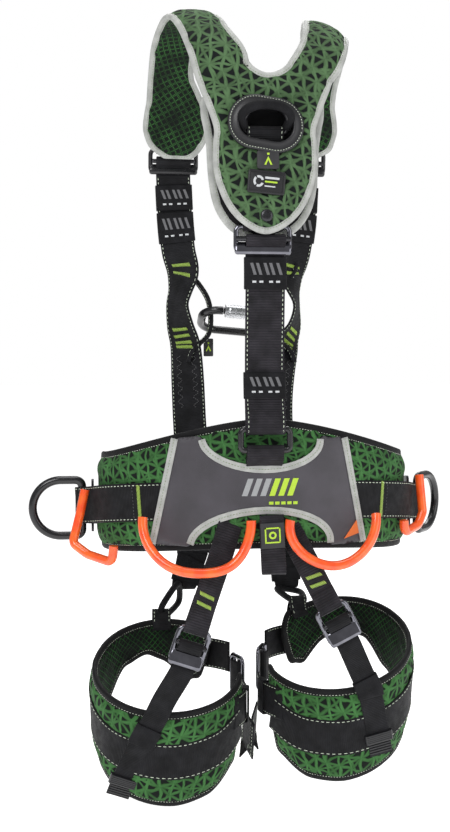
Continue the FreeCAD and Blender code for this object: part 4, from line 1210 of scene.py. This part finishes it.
def opening_trim():
    """Moulded grommet round the oval opening, with its line of stitches."""
    loop = resample(oval(OPENING_W - 2, OPENING_H - 2), 2.0, 2, closed=True)
    out = beside(loop)
    face = YOKE_T / 2
    section = [(11.0, face - 1.5), (11.2, face + 0.4), (10.2, face + 1.9), (8.4, face + 2.2),
               (6.5, face + 1.9), (3.0, face + 2.4), (1.2, face + 3.2), (-0.4, face + 3.0),
               (-1.2, face + 1.0), (-1.0, -5.0), (0.6, -5.6), (1.6, face - 2.0)]
    rings = [np.array([yoke_place(x + nx * e, z + nz * e, lift) for e, lift in section])
             for (x, z), (nx, nz) in zip(loop, out)]
    points, faces = skin(rings, closed=True)
    trim = outward(make("opening_grommet", points, faces, MOULDED, "harness"))
    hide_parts("dorsal_opening_trim")
    line = [(x + nx * 8.6, z + nz * 8.6, face + 2.2) for (x, z), (nx, nz) in zip(loop, out)]
    threads("opening_grommet_stitching", dashes(line + line[:1], 1.9, 1.3), yoke_place, WHITE_THREAD,
            "harness", FINE_THREAD)


def rounded_slab(name, w, h, t, corner, at, material, body, crown=0.0, soft=0.8):
    """Flat piece with softened edges. Its base is at height 0."""
    loop = np.array(rounded_rectangle(w, h, corner, 5))
    rings = []
    for inset, z in ((0.0, 0.0), (0.0, t - soft), (soft * 0.3, t - soft * 0.3), (soft, t),
                     (w * 0.25, t + crown)):
        k = (np.array((w, h)) - 2 * min(inset, h * 0.45)) / (w, h)
        rings.append(np.array([at(x * k[0], y * k[1], z) for x, y in loop]))
    points, faces = skin(rings)
    return soften(outward(make(name, points, faces, material, body)), 50)


def yoke_details():
    """Label tab, moulded badge and snap stud."""
    tab = local(yoke_place(2, 378, YOKE_T / 2 - 0.5), RIGHT, YOKE_UP)
    piece = rounded_slab("dorsal_tab", 25, 21, 2.2, 3, tab, LABEL, "harness", 0.8)
    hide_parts("label_tabs")
    chevron = [[(-4.6, -6), (-2.4, -6), (0, -0.6), (2.4, -6), (4.6, -6), (0, 3.4)], bar(0, 6.2, 2.6, 2.2)]
    marks("dorsal_tab_chevron", chevron, tab, LIME_PRINT, "harness", 2.75, 0.35)
    badge = local(yoke_place(0, 353, YOKE_T / 2 - 0.6), (1, 0, -0.09), YOKE_UP)
    body = rounded_slab("rubber_badge_moulding", 42, 26, 3.2, 2.5, badge, MOULDED, "harness")
    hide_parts("rubber_badge")
    rim = [[(-19, y - 0.5), (19, y - 0.5), (19, y + 0.5), (-19, y + 0.5)] for y in (-10.8, 10.8)]
    rim += [[(x - 0.5, -10.8), (x + 0.5, -10.8), (x + 0.5, 10.8), (x - 0.5, 10.8)] for x in (-18.8, 18.8)]
    marks("badge_rim", rim, badge, MOULDED, "harness", 3.3, 0.4)
    ring = [(-9 + 6 * math.cos(a), 6.5 * math.sin(a)) for a in circle(19)]
    hole = [(-9 + 3.4 * math.cos(a), 3.9 * math.sin(a)) for a in circle(19)]
    arcs = [[ring[k], ring[(k + 1) % 19], hole[(k + 1) % 19], hole[k]] for k in range(19) if k % 6]
    marks("badge_ring", arcs, badge, WHITE_PRINT, "harness", 3.3, 0.35)
    marks("badge_bars", [bar(6, 4.6, 16, 2.4), bar(4, -4.8, 12, 1.4)], badge, WHITE_PRINT, "harness", 3.3,
          0.35)
    marks("badge_bar_lime", [bar(5, 0.2, 14, 1.8)], badge, LIME_PRINT, "harness", 3.3, 0.35)
    stud = local(yoke_place(0, 316, YOKE_T / 2), RIGHT, YOKE_UP)
    profile = [(7.0, 0.0), (7.0, 2.0), (6.6, 2.9), (5.4, 3.5), (3.4, 3.9), (2.0, 3.8), (0.05, 3.6)]
    rings = [np.array([stud(r * math.cos(a), r * math.sin(a), z) for a in circle(32)])
             for r, z in profile]
    points, faces = skin(rings)
    cap = outward(make("snap_stud_cap", points, faces, STEEL, "harness"))
    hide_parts("snap_stud")


def dorsal_ring():
    """Fabric sleeve over the dorsal ring, and the webbing folded round its bar."""
    bar_at = np.array((YOKE_X, -141.0, 411.0))
    lean = math.radians(38)
    bow = UP * math.cos(lean) - FRONT * math.sin(lean)
    far = bar_at + bow * 34.0
    path = [bar_at + RIGHT * 24 + bow * 5, bar_at + RIGHT * 26 + bow * 12, far + RIGHT * 27 - bow * 14,
            far + RIGHT * 22 - bow * 6.5, far + RIGHT * 12 - bow * 1.2, far, far - RIGHT * 12 - bow * 1.2,
            far - RIGHT * 22 - bow * 6.5, far - RIGHT * 27 - bow * 14, bar_at - RIGHT * 26 + bow * 12,
            bar_at - RIGHT * 24 + bow * 5]
    sleeve = wire("dorsal_ring_sleeve", path, 5.4, ELASTIC, "dorsal_ring", sides=16)
    wrap = 4.0 + 0.4 + WEB_T / 2
    y, z = bar_at[1], bar_at[2]
    profile = [(-136.8, 345), (-134.4, 375), (-133.6, 395)] + arc((y, z), wrap, -15, 200, 8)
    profile += [(y - 3, z - 9.5), (y + 1, z - 18), (y + 3.4, z - 30)]
    stitched("dorsal_ring_webbing", [(YOKE_X, a, b) for a, b in profile], RIGHT, 42, WEB_T, "harness",
             replaces=["dorsal_webbing"])


# ---------------------------------------------------------------- front straps
# X, Y, Z and how far the webbing is twisted about its length, in degrees
LEFT_STRAP = [(-92, 101, 396, 0), (-91, 102, 372, 0), (-89, 102, 335, 4), (-85, 106, 300, 10),
              (-79, 109, 274, 22), (-82, 112, 250, 48), (-86, 114, 228, 54), (-82, 115, 200, 42),
              (-75, 115, 172, 30), (-72, 117, 125, 16), (-70, 118, 80, 12), (-67, 116, 20, 8),
              (-66, 113, -40, 6), (-65, 110, -105, 4)]
RIGHT_STRAP = [(78, 101, 396, 0), (77, 102, 372, 0), (75, 102, 335, -4), (71, 106, 300, -10),
               (67, 109, 274, -26), (71, 112, 250, -58), (75, 114, 228, -72), (72, 115, 200, -58),
               (60, 115, 172, -30), (51, 117, 125, -14), (49, 118, 80, -10), (52, 116, 20, -8),
               (55, 113, -40, -6), (57, 110, -105, -4)]
SHOULDER_BUCKLE_X = {LEFT_SIDE: -92.0, RIGHT_SIDE: 78.0}
# X of the strap's lower end, and where its link meets the leg loop
LOW_END = {LEFT_SIDE: (-65, 178), RIGHT_SIDE: (57, 203)}


def front_strap(side, leg):
    """Shoulder adjuster to the hip: one strap that carries on below the belt."""
    name = SIDE_NAME[side]
    table = LEFT_STRAP if side == LEFT_SIDE else RIGHT_STRAP
    buckle = local((SHOULDER_BUCKLE_X[side], 99, 416), RIGHT, (0, -0.16, 1))
    frame_piece(f"{name}_shoulder_adjuster", buckle, WEB + 20, 34, "harness",
                ["shoulder_adjusters"] if side == LEFT_SIDE else (), 10.0, BLACK_METAL)
    path = [p[:3] for p in table]
    across = [(math.cos(math.radians(-p[3])), math.sin(math.radians(-p[3])), 0) for p in table]
    fold = [buckle(0, y, z) for y, z in ((-9, 2.2), (-5.5, 6.0), (-1.5, 8.9), (2.6, 8.2), (4.4, 4.7),
                                         (0.5, 1.2), (-8, -2.5))]
    path = [tuple(p) for p in fold] + path
    across = [RIGHT] * len(fold) + across
    _, strip = strap(f"{name}_front_strap_webbing", path, across, WEB, WEB_T + 0.6, "harness",
                     replaces=[f"{name}_front_strap"])
    edge_stitches(f"{name}_front_strap_stitching", strip, WEB_T + 0.6, "harness", start=46)
    wire(f"{name}_shoulder_bar", [buckle(x, 0, 4.7) for x in (-28, -10, 10, 28)], 2.8, STEEL, "harness")
    top = [buckle(0, y, z) for y, z in ((34, -1.5), (24, -3.6), (16, -4.6))]
    rail = [buckle(0, 14 + b, a) for a, b in arc((0, 0), RAIL_WRAP, 180, 360, 6)]
    back = [buckle(0, y, z) for y, z in ((20, 3.6), (30, 1.5))]
    _, hanger = strap(f"{name}_shoulder_hanger", top + rail + back, RIGHT, WEB, WEB_T, "harness")
    edge_stitches(f"{name}_shoulder_hanger_stitching", hanger, WEB_T, "harness", start=2)

    def length_at(z):
        below = np.flatnonzero(strip.s > 44)
        return strip.s[below[np.argmin(np.abs(strip.p[below, 2] - z))]]

    for part, high, low in (("upper", 386, 353), ("lower", 349, 312)):
        s0, s1 = length_at(high), length_at(low)
        body = keeper(f"{name}_strap_keeper_{part}", strip, s0, s1, WEB_T + 3.0, "harness")
        if side == LEFT_SIDE and part == "upper":
            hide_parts("shoulder_strap_keepers")
        for face in (-1, 1):
            keeper_marks(f"{name}_keeper_marks_{part}_{'front' if face > 0 else 'back'}", strip,
                         (s0 + s1) / 2, face * (WEB_T / 2 + 2.9), s1 - s0)
    lift = (WEB_T + 0.6) / 2 + 0.2
    segments = []
    for z in (281, 271, 196, 188, 180, 172):
        for face in (-1, 1):
            segments += bartack(length_at(z), 24, 5.0, face * lift, 0.12)
    threads(f"{name}_front_strap_bartacks", segments, strip.at, LIME_THREAD, "harness", HEAVY_THREAD)
    waves = []
    for face in (-1, 1):
        for edge in (-1, 1):
            line = []
            for s in np.arange(length_at(160), length_at(88), 1.5):
                line.append((s, edge * (10.5 + 3.5 * math.sin(s * 0.55)), face * lift))
            waves += dashes(line, 2.0, 0.9)
    threads(f"{name}_tear_stitching", waves, strip.at, BLACK_THREAD, "harness", HEAVY_THREAD)
    chest_loop(side)
    lower_strap(side, leg)


def chest_loop(side):
    """Folded webbing eye that the karabiner hangs in, and its marker flag."""
    name = SIDE_NAME[side]
    path = [(side * -x, 116.5, z) for x, z in ((-74, 283), (-68, 268), (-57, 256), (-45, 236), (-41, 212),
                                               (-44, 190), (-56, 177), (-67, 166), (-72, 152))]
    stitched(f"{name}_chest_eye", path, FRONT, 22, 5.2, "harness")
    if side == LEFT_SIDE:
        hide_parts("chest_loops")
    flag = local((side * 44, 119.4, 172), RIGHT, UP)
    rounded_slab(f"{name}_chest_flag", 13, 24, 1.4, 1.5, lambda x, y, z: flag(x, y, 0.7 - z), LABEL,
                 "harness", 0, 0.3)
    marks(f"{name}_chest_flag_mark", [[(-3.6, -5), (-2, -5), (0, -0.6), (2, -5), (3.6, -5), (0, 3)],
                                      bar(0, 5.6, 2, 2)], flag, LIME_PRINT, "harness", 0.9, 0.25)


# link loop's cord radius, and the height of the strap's lower fold
LINK_R, HIP_FOLD_Z = 4.2, -148.5


def lower_strap(side, leg):
    """The strap's folded end below the belt, its keeper, and the link loop down to the leg loop."""
    name = SIDE_NAME[side]
    strap_x, eye_deg = LOW_END[side]
    eye = leg.plan(eye_deg, 0, leg.rim(eye_deg) + 1)
    start = np.array((strap_x, 110, -100.0))
    fold = np.array((strap_x + (eye[0] - strap_x) * 0.3, 103, HIP_FOLD_Z))
    path = [start, start * 0.6 + fold * 0.4 + (0, 1, 0), fold + (0, 1.8, 3), fold + (0, -1.5, -2.6),
            fold + (0, -5.5, 2), start * 0.5 + fold * 0.5 + (0, -5.0, 0), start + (0, -4.2, -12)]
    obj, _ = strap(f"{name}_hip_strap", path, RIGHT, (41, 38, 32, 30, 32, 38, 41), WEB_T, None,
                   replaces=[f"{name}_leg_front_strap"])
    blend_at(obj)
    sleeve_line = Strip([start * (1 - t) + fold * t + (0, -1.8, 0) for t in np.linspace(0.1, 0.95, 6)],
                        RIGHT, 35)
    keeper(f"{name}_hip_keeper", sleeve_line, 22, sleeve_line.s[-1] - 3, 9.0, f"{name}_leg", wall=1.4)
    top, foot = fold + ((eye[0] - fold[0]) * 0.2, -4, -6), eye + (0, 8, 6)
    run = unit(foot - top)
    wide = unit((0.6, 1.0, 0))
    wide = unit(wide - run * np.dot(wide, run))
    corners = [top - wide * 19, top + wide * 19, foot + wide * 11, foot - wide * 11]
    rounded = []
    for a, b in zip(corners, corners[1:] + corners[:1]):
        rounded += [a * 0.8 + b * 0.2, a * 0.2 + b * 0.8]
    link = wire(f"{name}_link_loop", rounded, LINK_R, WEBBING, f"{name}_leg", closed=True)
    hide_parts(f"{name}_leg_link_ring")


def blend_at(obj):
    """Bakes the placement of a piece that lies between the harness and a leg loop into its mesh."""
    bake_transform(obj)


# ---------------------------------------------------------------- leg loops
class Leg:
    """One leg loop. Angles run from the back (0) round the outside (90) to the front (180)."""

    A, B = 87.5, 86.0
    RIM_Z, RIM_TILT = -217.0, 34.0
    FROM, TO = -76, 220
    # angle and pad height
    HEIGHTS = [(FROM, 62), (-66, 98), (-30, 112), (0, 115), (45, 114), (90, 104), (120, 78), (145, 48),
               (165, 42), (182, 54), (198, 76), (211, 68), (TO, 34)]
    PER_DEGREE = math.radians(1) * (A + B) / 2

    def __init__(self, side, x, y, lift, roll):
        self.name, self.side = f"{SIDE_NAME[side]}_leg", side
        self.x, self.y, self.lift, self.roll = x, y, lift, roll

    def rim(self, deg):
        r = math.radians(deg)
        return self.RIM_Z - self.RIM_TILT * math.cos(r) + self.lift + self.roll * math.sin(r)

    def height(self, deg):
        rows = self.HEIGHTS
        for (a, low), (b, high) in zip(rows, rows[1:]):
            if deg <= b:
                return low + (high - low) * ease((deg - a) / (b - a))
        return rows[-1][1]

    def out(self, deg):
        r = math.radians(deg)
        return unit((self.side * math.sin(r) / self.A, -math.cos(r) / self.B, 0))

    def plan(self, deg, offset, z):
        """Point offset from the pad's middle ellipse at a given height."""
        r = math.radians(deg)
        base = np.array((self.x + self.side * self.A * math.sin(r), self.y - self.B * math.cos(r), z))
        return base + self.out(deg) * offset

    def flare(self, deg):
        """Direction up the pad, which leans outward at the back and the outside."""
        lean = math.radians(8) * max(0.0, math.cos(math.radians(deg * 0.8)))
        return UP * math.cos(lean) + self.out(deg) * math.sin(lean)

    def point(self, deg, down, offset):
        """Point so far below the rim, and so far outside the pad's middle surface."""
        half = self.height(deg) / 2
        middle = self.plan(deg, 0, self.rim(deg) - half)
        up = self.flare(deg)
        normal = self.out(deg) * up[2] - UP * np.dot(up, self.out(deg))
        return middle + up * (half - down) + normal * offset

    def place(self, x, y, lift):
        """Pattern place: x along the loop, y up from the rim."""
        return self.point(x / self.PER_DEGREE, -y, lift)

    def band_middle(self, deg):
        return min(58.0, self.height(deg) / 2)

    def pad(self):
        """Padding, thinner under the wide webbing that is sewn on it."""
        degrees = [-74, -70, -66, *range(-58, 190, 8), 190, 198, 205, 211, 216]
        top = [(d * self.PER_DEGREE, 0.0) for d in degrees]
        bottom = [(d * self.PER_DEGREE, -self.height(d)) for d in degrees]
        ends = [((self.TO + 1) * self.PER_DEGREE, -self.height(218) / 2),
                ((self.FROM - 1) * self.PER_DEGREE, -self.height(-76) / 2)]
        outline = catmull(np.array(top + ends[:1] + bottom[::-1] + ends[1:]), 2, closed=True)
        webbed = 19.0

        def under_webbing(x, y):
            deg = x / self.PER_DEGREE
            return deg < 126 and abs(-y - self.band_middle(deg)) < webbed

        pad = Pad(f"{self.name}_loop_pad", outline, self.place, PAD_T, pinned=under_webbing)
        pad.CREST = 12.0
        body = self.name
        finish_pad(pad.build([PRINT_DARK, MESH_TURNED], 2.6), body, [f"{self.name}_pad"])
        pad.tape(f"{self.name}_binding", BLACK_TAPE, body, WHITE_THREAD)

    def band(self):
        """Wide webbing sewn round the outside of the pad."""
        degrees = list(range(-66, 127, 8))
        path = [self.point(d, self.band_middle(d), PAD_T / 2 + 1.4) for d in degrees]
        widths = [min(WEB, self.height(d) - 22) for d in degrees]
        across = [self.flare(d) for d in degrees]
        _, strip = strap(f"{self.name}_band", path, across, widths, 2.2, self.name,
                         replaces=[f"{self.name}_webbing"])
        face = 1 if np.dot(strip.n[10], self.out(degrees[3])) > 0 else -1
        edge_stitches(f"{self.name}_band_stitching", strip, 2.4, self.name, sides=(face,), stitch=4.0,
                      gap=2.4)

    def closure(self):
        """Inner strap in two lengths, the buckle between them, and the strap's folded free tail."""
        offset = PAD_T / 2 + 3.5
        high, low = self.rim(self.TO) - 34, self.rim(self.FROM) - 40
        parts = (("front", (192, 198, 208, 218, 228, 238), high),
                 ("back", (256, 262, 270, 280, 290, 300, 308), low))
        for part, degrees, z in parts:
            path = [self.plan(d, offset, z) for d in degrees]
            replaces = [f"{self.name}_inner_strap"] if part == "front" else ()
            strip = stitched(f"{self.name}_inner_{part}", path, UP, WEB - 6, 2.2, self.name,
                             replaces=replaces)
            if part == "back":
                keeper(f"{self.name}_inner_keeper", strip, 34, 52, 6.0, self.name)
        middle = self.plan(249, offset, (high + low) / 2)
        ahead = self.plan(250, offset, middle[2]) - self.plan(248, offset, middle[2])
        at = local(middle, UP, ahead)
        frame_piece(f"{self.name}_inner_adjuster", at, WEB + 10, 36, self.name, [f"{self.name}_buckle"])
        wire(f"{self.name}_inner_adjuster_bar", [at(x, 1, 3.5) for x in (-24, -8, 8, 24)], ADJUSTER_BAR_R,
             STEEL, self.name)
        loop = [at(0, y, z) for y, z in ((-12, -2.5), (-4, -1.5), (1.0, 0.0), (5.6, 3.5), (1.0, 7.4),
                                         (-5, 6.5), (-12, 7.5))]
        strap(f"{self.name}_inner_fold", loop, UP, WEB - 7, 2.2, self.name)
        top = self.plan(268, offset + 5, low - 24)
        tail = [top + np.array((0, 7.0 * k, -17.0 * k)) for k in (0, 1, 2, 2.6)]
        tail += [tail[-1] + (0, 3, -5), tail[-1] + (0, 4.5, -1), tail[-1] + (0, 2.2, 7)]
        stitched(f"{self.name}_inner_tail", tail, self.side * RIGHT * 0.3 + FRONT, 32, 2.4, self.name)

    def rear_strap(self, top, buckle, last_deg):
        """Strap from the belt to the adjuster, and on over the pad to its lower rim."""
        down = unit(buckle - top)
        across = unit(np.cross(FRONT, down))
        across = across * (1 if across[0] > 0 else -1)
        at = local(buckle, across, -down)
        name = self.name
        frame_piece(f"{name}_adjuster", at, LEG_WEB + 13, 46, name, [f"{name}_adjuster_frame"], 14.0)
        wire(f"{name}_adjuster_bar_cover", [at(x, 3, 4.7) for x in (-17, -6, 6, 17)], ADJUSTER_BAR_R, STEEL,
             name)
        hang = [top - down * 62 + FRONT * 10.5, top - down * 42 + FRONT * 8.5, top - down * 18 + FRONT * 3,
                top, (top + buckle) / 2]
        hang += [at(0, y, z) for y, z in ((42, 1.5), (32, 3.6), (25, 4.6))]
        hang += [at(0, 20 + b, -a) for a, b in arc((0, 0), RAIL_WRAP, 180, 360, 6)]
        hang += [at(0, y, z) for y, z in ((26, -4.4), (36, -3.0), (58, -2.4))]
        obj, strip = strap(f"{name}_rear_strap", hang, across, LEG_WEB, WEB_T, None, RIBBED,
                           replaces=["leg_strap_anchors"] if self.side == LEFT_SIDE else ())
        blend_at(obj)
        face = 1 if strip.n[len(strip.n) // 3][1] < 0 else -1
        above, buckle_half, clear = 62, 23, 26
        reach = np.linalg.norm(buckle - top) + above - buckle_half - clear
        tacks = bartack(reach, 17, 5, face * 1.4, 0.15) + bartack(reach - 11, 17, 5, face * 1.4, 0.15)
        threads(f"{name}_rear_bartacks", tacks, strip.at, LIME_THREAD, name, HEAVY_THREAD)
        first_deg, offset = 11.0, PAD_T / 2 + 0.3 + 2.2 + 1.0 + WEB_T / 2
        short = 8 if self.side == LEFT_SIDE else 30
        lie = []
        for k in range(8):
            deg = first_deg + (last_deg - first_deg) * k / 7
            lie.append(self.point(deg, 2 + (self.height(deg) - short) * k / 7, offset))
        fold = [at(0, y, z) for y, z in ((-6, 1.4), (-4, 6.5), (0.5, 8.9), (5, 8.0), (7.4, 4.6), (3.2, 0.4),
                                         (-8, -3.6), (-18, -4.2))]
        lead = [buckle + down * 30 + FRONT * 1.5, buckle + (lie[0] - buckle) * 0.72 - FRONT * 2]
        end = [lie[-1] + (lie[-1] - lie[-2]) * 0.45]
        _, low = strap(f"{name}_lower_strap", fold + lead + lie + end, across, LEG_WEB, WEB_T, name,
                       replaces=[f"{name}_strap"])
        total = low.s[-1]
        keeper(f"{name}_strap_keeper", low, total - 104, total - 78, WEB_T + 1.6, name)
        tail, half = total - 24, 6.0
        outer = 1 if np.dot(low.n[-8], self.out(last_deg)) > 0 else -1
        rings = []
        for s in np.linspace(tail - half, tail + half, 7):
            loop = rounded_rectangle(LEG_WEB + 6, WEB_T + 5.5, 3.2, 4)
            grow = 1 - 0.18 * abs((s - tail) / half) ** 4
            ring = [low.at(s, u * (0.96 + 0.04 * grow), v * grow + outer * 0.8) for u, v in loop]
            rings.append(np.array(ring))
        points, faces = skin(rings)
        soften(outward(make(f"{name}_strap_slider", points, faces, MOULDED, name)), 50)
        ridges = [bar(s, 0, 1.3, LEG_WEB + 2) for s in (tail - 3.6, tail - 1.2, tail + 1.2, tail + 3.6)]
        marks(f"{name}_strap_slider_ridges", ridges, low.at, MOULDED, name, outer * (WEB_T / 2 + 3.6), 0.35)
        ends = [bar(s, 0, 1.6, LEG_WEB - 1) for s in np.arange(total - 14, total - 1, 3.4)]
        marks(f"{name}_strap_end_ribs", ends, low.at, LABEL, name, outer * WEB_T / 2, 0.6)

    def link_eye(self, eye_deg):
        """Webbing eye on the pad's front rim, where the link ring hooks in."""
        eye = self.plan(eye_deg, 0, self.rim(eye_deg) + 1)
        centre = eye + (0, 8, 2)
        path = [self.point(eye_deg, 26, PAD_T / 2 + 2), self.point(eye_deg, 10, PAD_T / 2 + 3),
                centre + (0, 5, 0), centre + (0, 4, 6.5), centre + (0, -0.5, 9), centre + (0, -5, 6),
                centre + (0, -12, -3), self.point(eye_deg, 12, -PAD_T / 2 - 2)]
        stitched(f"{self.name}_front_eye", path, unit(np.cross(UP, self.out(eye_deg))), 24, 3.0, self.name)


# ---------------------------------------------------------------- belt details
def restraint_loop():
    """Webbing loop that hangs below the middle of the belt, and its printed label."""
    y, low, half = -(BELT_B + BELT_T / 2) - 9.5, -85.0, 3.0
    profile = [(y - half, -20), (y - half, -55)] + arc((y, low), half, 180, 360)
    profile += [(y + half, -55), (y + half, -27)]
    path = [(4.5 - 0.05 * (z + 24), a, z) for a, z in profile]
    _, strip = strap("restraint_loop_webbing", path, RIGHT, 28, WEB_T, "restraint_loop", RIBBED,
                     replaces=["restraint_loop"])
    face = 1 if strip.n[3][1] < 0 else -1

    def patch(x, z, lift):
        return strip.at(z, x, face * (WEB_T / 2 + lift))

    label = [[(x, s) for x, s in ((-13.6, 9), (13.6, 9), (13.6, 38), (-13.6, 38))]]
    marks("restraint_label", label, patch, LABEL, "restraint_loop", 0.35, 0.35)
    square = [[(-9, 14), (9, 14), (9, 15.6), (-9, 15.6)], [(-9, 30.4), (9, 30.4), (9, 32), (-9, 32)],
              [(-9, 14), (-7.4, 14), (-7.4, 32), (-9, 32)], [(7.4, 14), (9, 14), (9, 32), (7.4, 32)]]
    marks("restraint_label_frame", square, patch, LIME_PRINT, "restraint_loop", 0.9, 0.22)
    disc = [[(4.4 * math.cos(a), 23 + 4.4 * math.sin(a)) for a in circle(16)]]
    dot = [[(2.2 * math.cos(a), 23 + 2.2 * math.sin(a)) for a in circle(12)]]
    marks("restraint_label_disc", disc, patch, LIME_PRINT, "restraint_loop", 0.9, 0.22)
    marks("restraint_label_dot", dot, patch, LABEL, "restraint_loop", 1.2, 0.2)


def karabiner_sleeve():
    """Knurled barrel with a plain collar at each end."""
    centre, axis, across = karabiner_axes()
    start = centre + axis * -24 + across * 30
    normal = np.cross(axis, across)
    rings = []
    stations = [(0.0, 5.2), (0.0, 8.2), (0.7, 8.8), (4.0, 8.8), (4.6, 8.2), (5.6, 8.2)]
    stations += [(x, 9.0) for x in np.arange(6.5, 36, 1.0)]
    stations += [(36.5, 8.2), (37.6, 8.2), (38.2, 8.8), (41.2, 8.8), (42, 8.2), (42, 5.2)]
    n = 56
    for x, r in stations:
        knurl = 0.35 if r == 9.0 else 0.0
        ring = []
        for k in range(n):
            a = 2 * math.pi * k / n
            bumps = abs(math.sin(a * 14 + x * 0.7)) * abs(math.sin(a * 14 - x * 0.7))
            rr = r - knurl * (1 - bumps) * 1.4
            ring.append(start + axis * x + (across * math.cos(a) + normal * math.sin(a)) * rr)
        rings.append(np.array(ring))
    points, faces = skin(rings, closed=True)
    obj = outward(make("karabiner_barrel", points, faces, SILVER, "karabiner_sleeve"))
    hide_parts("karabiner_sleeve")
    soften(obj, 35)


def karabiner_axes():
    """The karabiner's middle, its long axis and the direction from its middle to its gate."""
    roll, droop = math.radians(24), math.radians(-5)
    axis = np.array((math.cos(droop), 0, math.sin(droop)))
    across = np.array((0, -math.cos(roll), math.sin(roll)))
    return np.array((0.0, 121, 206)), axis, across


# ---------------------------------------------------------------- stage
FLOOR_GAP = 0.012                         # metres from the leg loops' lowest point down to the floor
CAMERA_AT, CAMERA_TURN, CAMERA_LENS = (-0.1881, -1.4659, 0.1630), (87, 0, -6), 51.1
AIM = Vector((0, 0, 0.1))
# name, place in metres, size in metres and power in watts
LIGHTS = [("key", (-1.1, -1.7, 1.5), 1.1, 24), ("fill", (1.6, -1.3, 0.7), 1.4, 11),
          ("top", (0, 0.1, 2.0), 1.2, 16), ("rear", (0.3, 1.6, 1.2), 1.2, 12)]


def stage():
    """Pale floor and backdrop, four soft lights and the camera."""
    low = cad_box[0][2] - FLOOR_GAP
    bpy.ops.mesh.primitive_plane_add(size=30, location=(0, 4, low))
    floor = bpy.context.object
    floor.name = "studio_floor"
    paint = Paint("studio_floor", (0.90, 0.90, 0.90), 0.9, Specular_IOR_Level=0.0,
                  Emission_Color=(1, 1, 1, 1), Emission_Strength=0.74)
    floor.data.materials.append(paint.mat)
    world = bpy.data.worlds.new("studio")
    bpy.context.scene.world = world
    world.use_nodes = True
    tree = world.node_tree
    seen = tree.nodes.new("ShaderNodeLightPath").outputs["Is Camera Ray"]
    strength = tree.nodes.new("ShaderNodeMapRange")
    strength.inputs["To Min"].default_value = 0.34
    strength.inputs["To Max"].default_value = 1.0
    tree.links.new(seen, strength.inputs["Value"])
    background = tree.nodes["Background"]
    background.inputs["Color"].default_value = (1, 1, 1, 1)
    tree.links.new(strength.outputs[0], background.inputs["Strength"])
    for name, place, size, power in LIGHTS:
        data = bpy.data.lights.new(name, "AREA")
        data.size, data.energy = size, power
        lamp = bpy.data.objects.new(name, data)
        lamp.location = place
        lamp.rotation_euler = (AIM - Vector(place)).to_track_quat("-Z", "Y").to_euler()
        bpy.context.collection.objects.link(lamp)
    camera = bpy.data.objects.new("camera", bpy.data.cameras.new("camera"))
    camera.location = CAMERA_AT
    camera.rotation_euler = [math.radians(turn) for turn in CAMERA_TURN]
    camera.data.lens = CAMERA_LENS
    camera.data.clip_start = 0.05
    bpy.context.collection.objects.link(camera)
    bpy.context.scene.camera = camera
    bpy.context.scene.view_settings.view_transform = "Standard"


stage()
belt_pad()
back_panel()
for side in (LEFT_SIDE, RIGHT_SIDE):
    side_webbing(side)
    front_webbing(side)
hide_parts("belt_side_webbing")
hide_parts("belt_front_webbing")
waist_tab()
restraint_loop()
back_strap()
yoke()
opening_trim()
yoke_details()
dorsal_ring()
# middle of each leg loop in plan, its lift, and its roll towards the outside
legs = {LEFT_SIDE: Leg(LEFT_SIDE, -108.0, -28.0, 0.0, 0.0),
        RIGHT_SIDE: Leg(RIGHT_SIDE, 102.0, -28.0, 23.0, 14.0)}
for side, leg in legs.items():
    front_strap(side, leg)
    leg.pad()
    leg.band()
    leg.closure()
    leg.link_eye(LOW_END[side][1])
# top of each rear strap, its adjuster, and where round the pad its lower end lies
legs[LEFT_SIDE].rear_strap(np.array((-54.0, -138, -68)), np.array((-89.0, -141, -170)), 42)
legs[RIGHT_SIDE].rear_strap(np.array((42.0, -138, -68)), np.array((82.0, -141, -146)), 24)
karabiner_sleeve()
frame_piece("back_adjuster", local(BACK_BUCKLE, RIGHT, UP), WEB + 21, 34, "harness",
            ["back_adjuster_frame"])
repaint(BLACK_METAL, "left_side_ring", "right_side_ring", "ventral_ring", "waist_ring", "dorsal_ring",
        "karabiner_body", "karabiner_gate")
repaint(STEEL, "hip_brackets", "belt_adjusters", "back_adjuster_bar", "left_leg_adjuster_bar",
        "right_leg_adjuster_bar")
repaint(ORANGE, "left_rear_gear_loop", "right_rear_gear_loop", "left_side_gear_loop",
        "right_side_gear_loop")
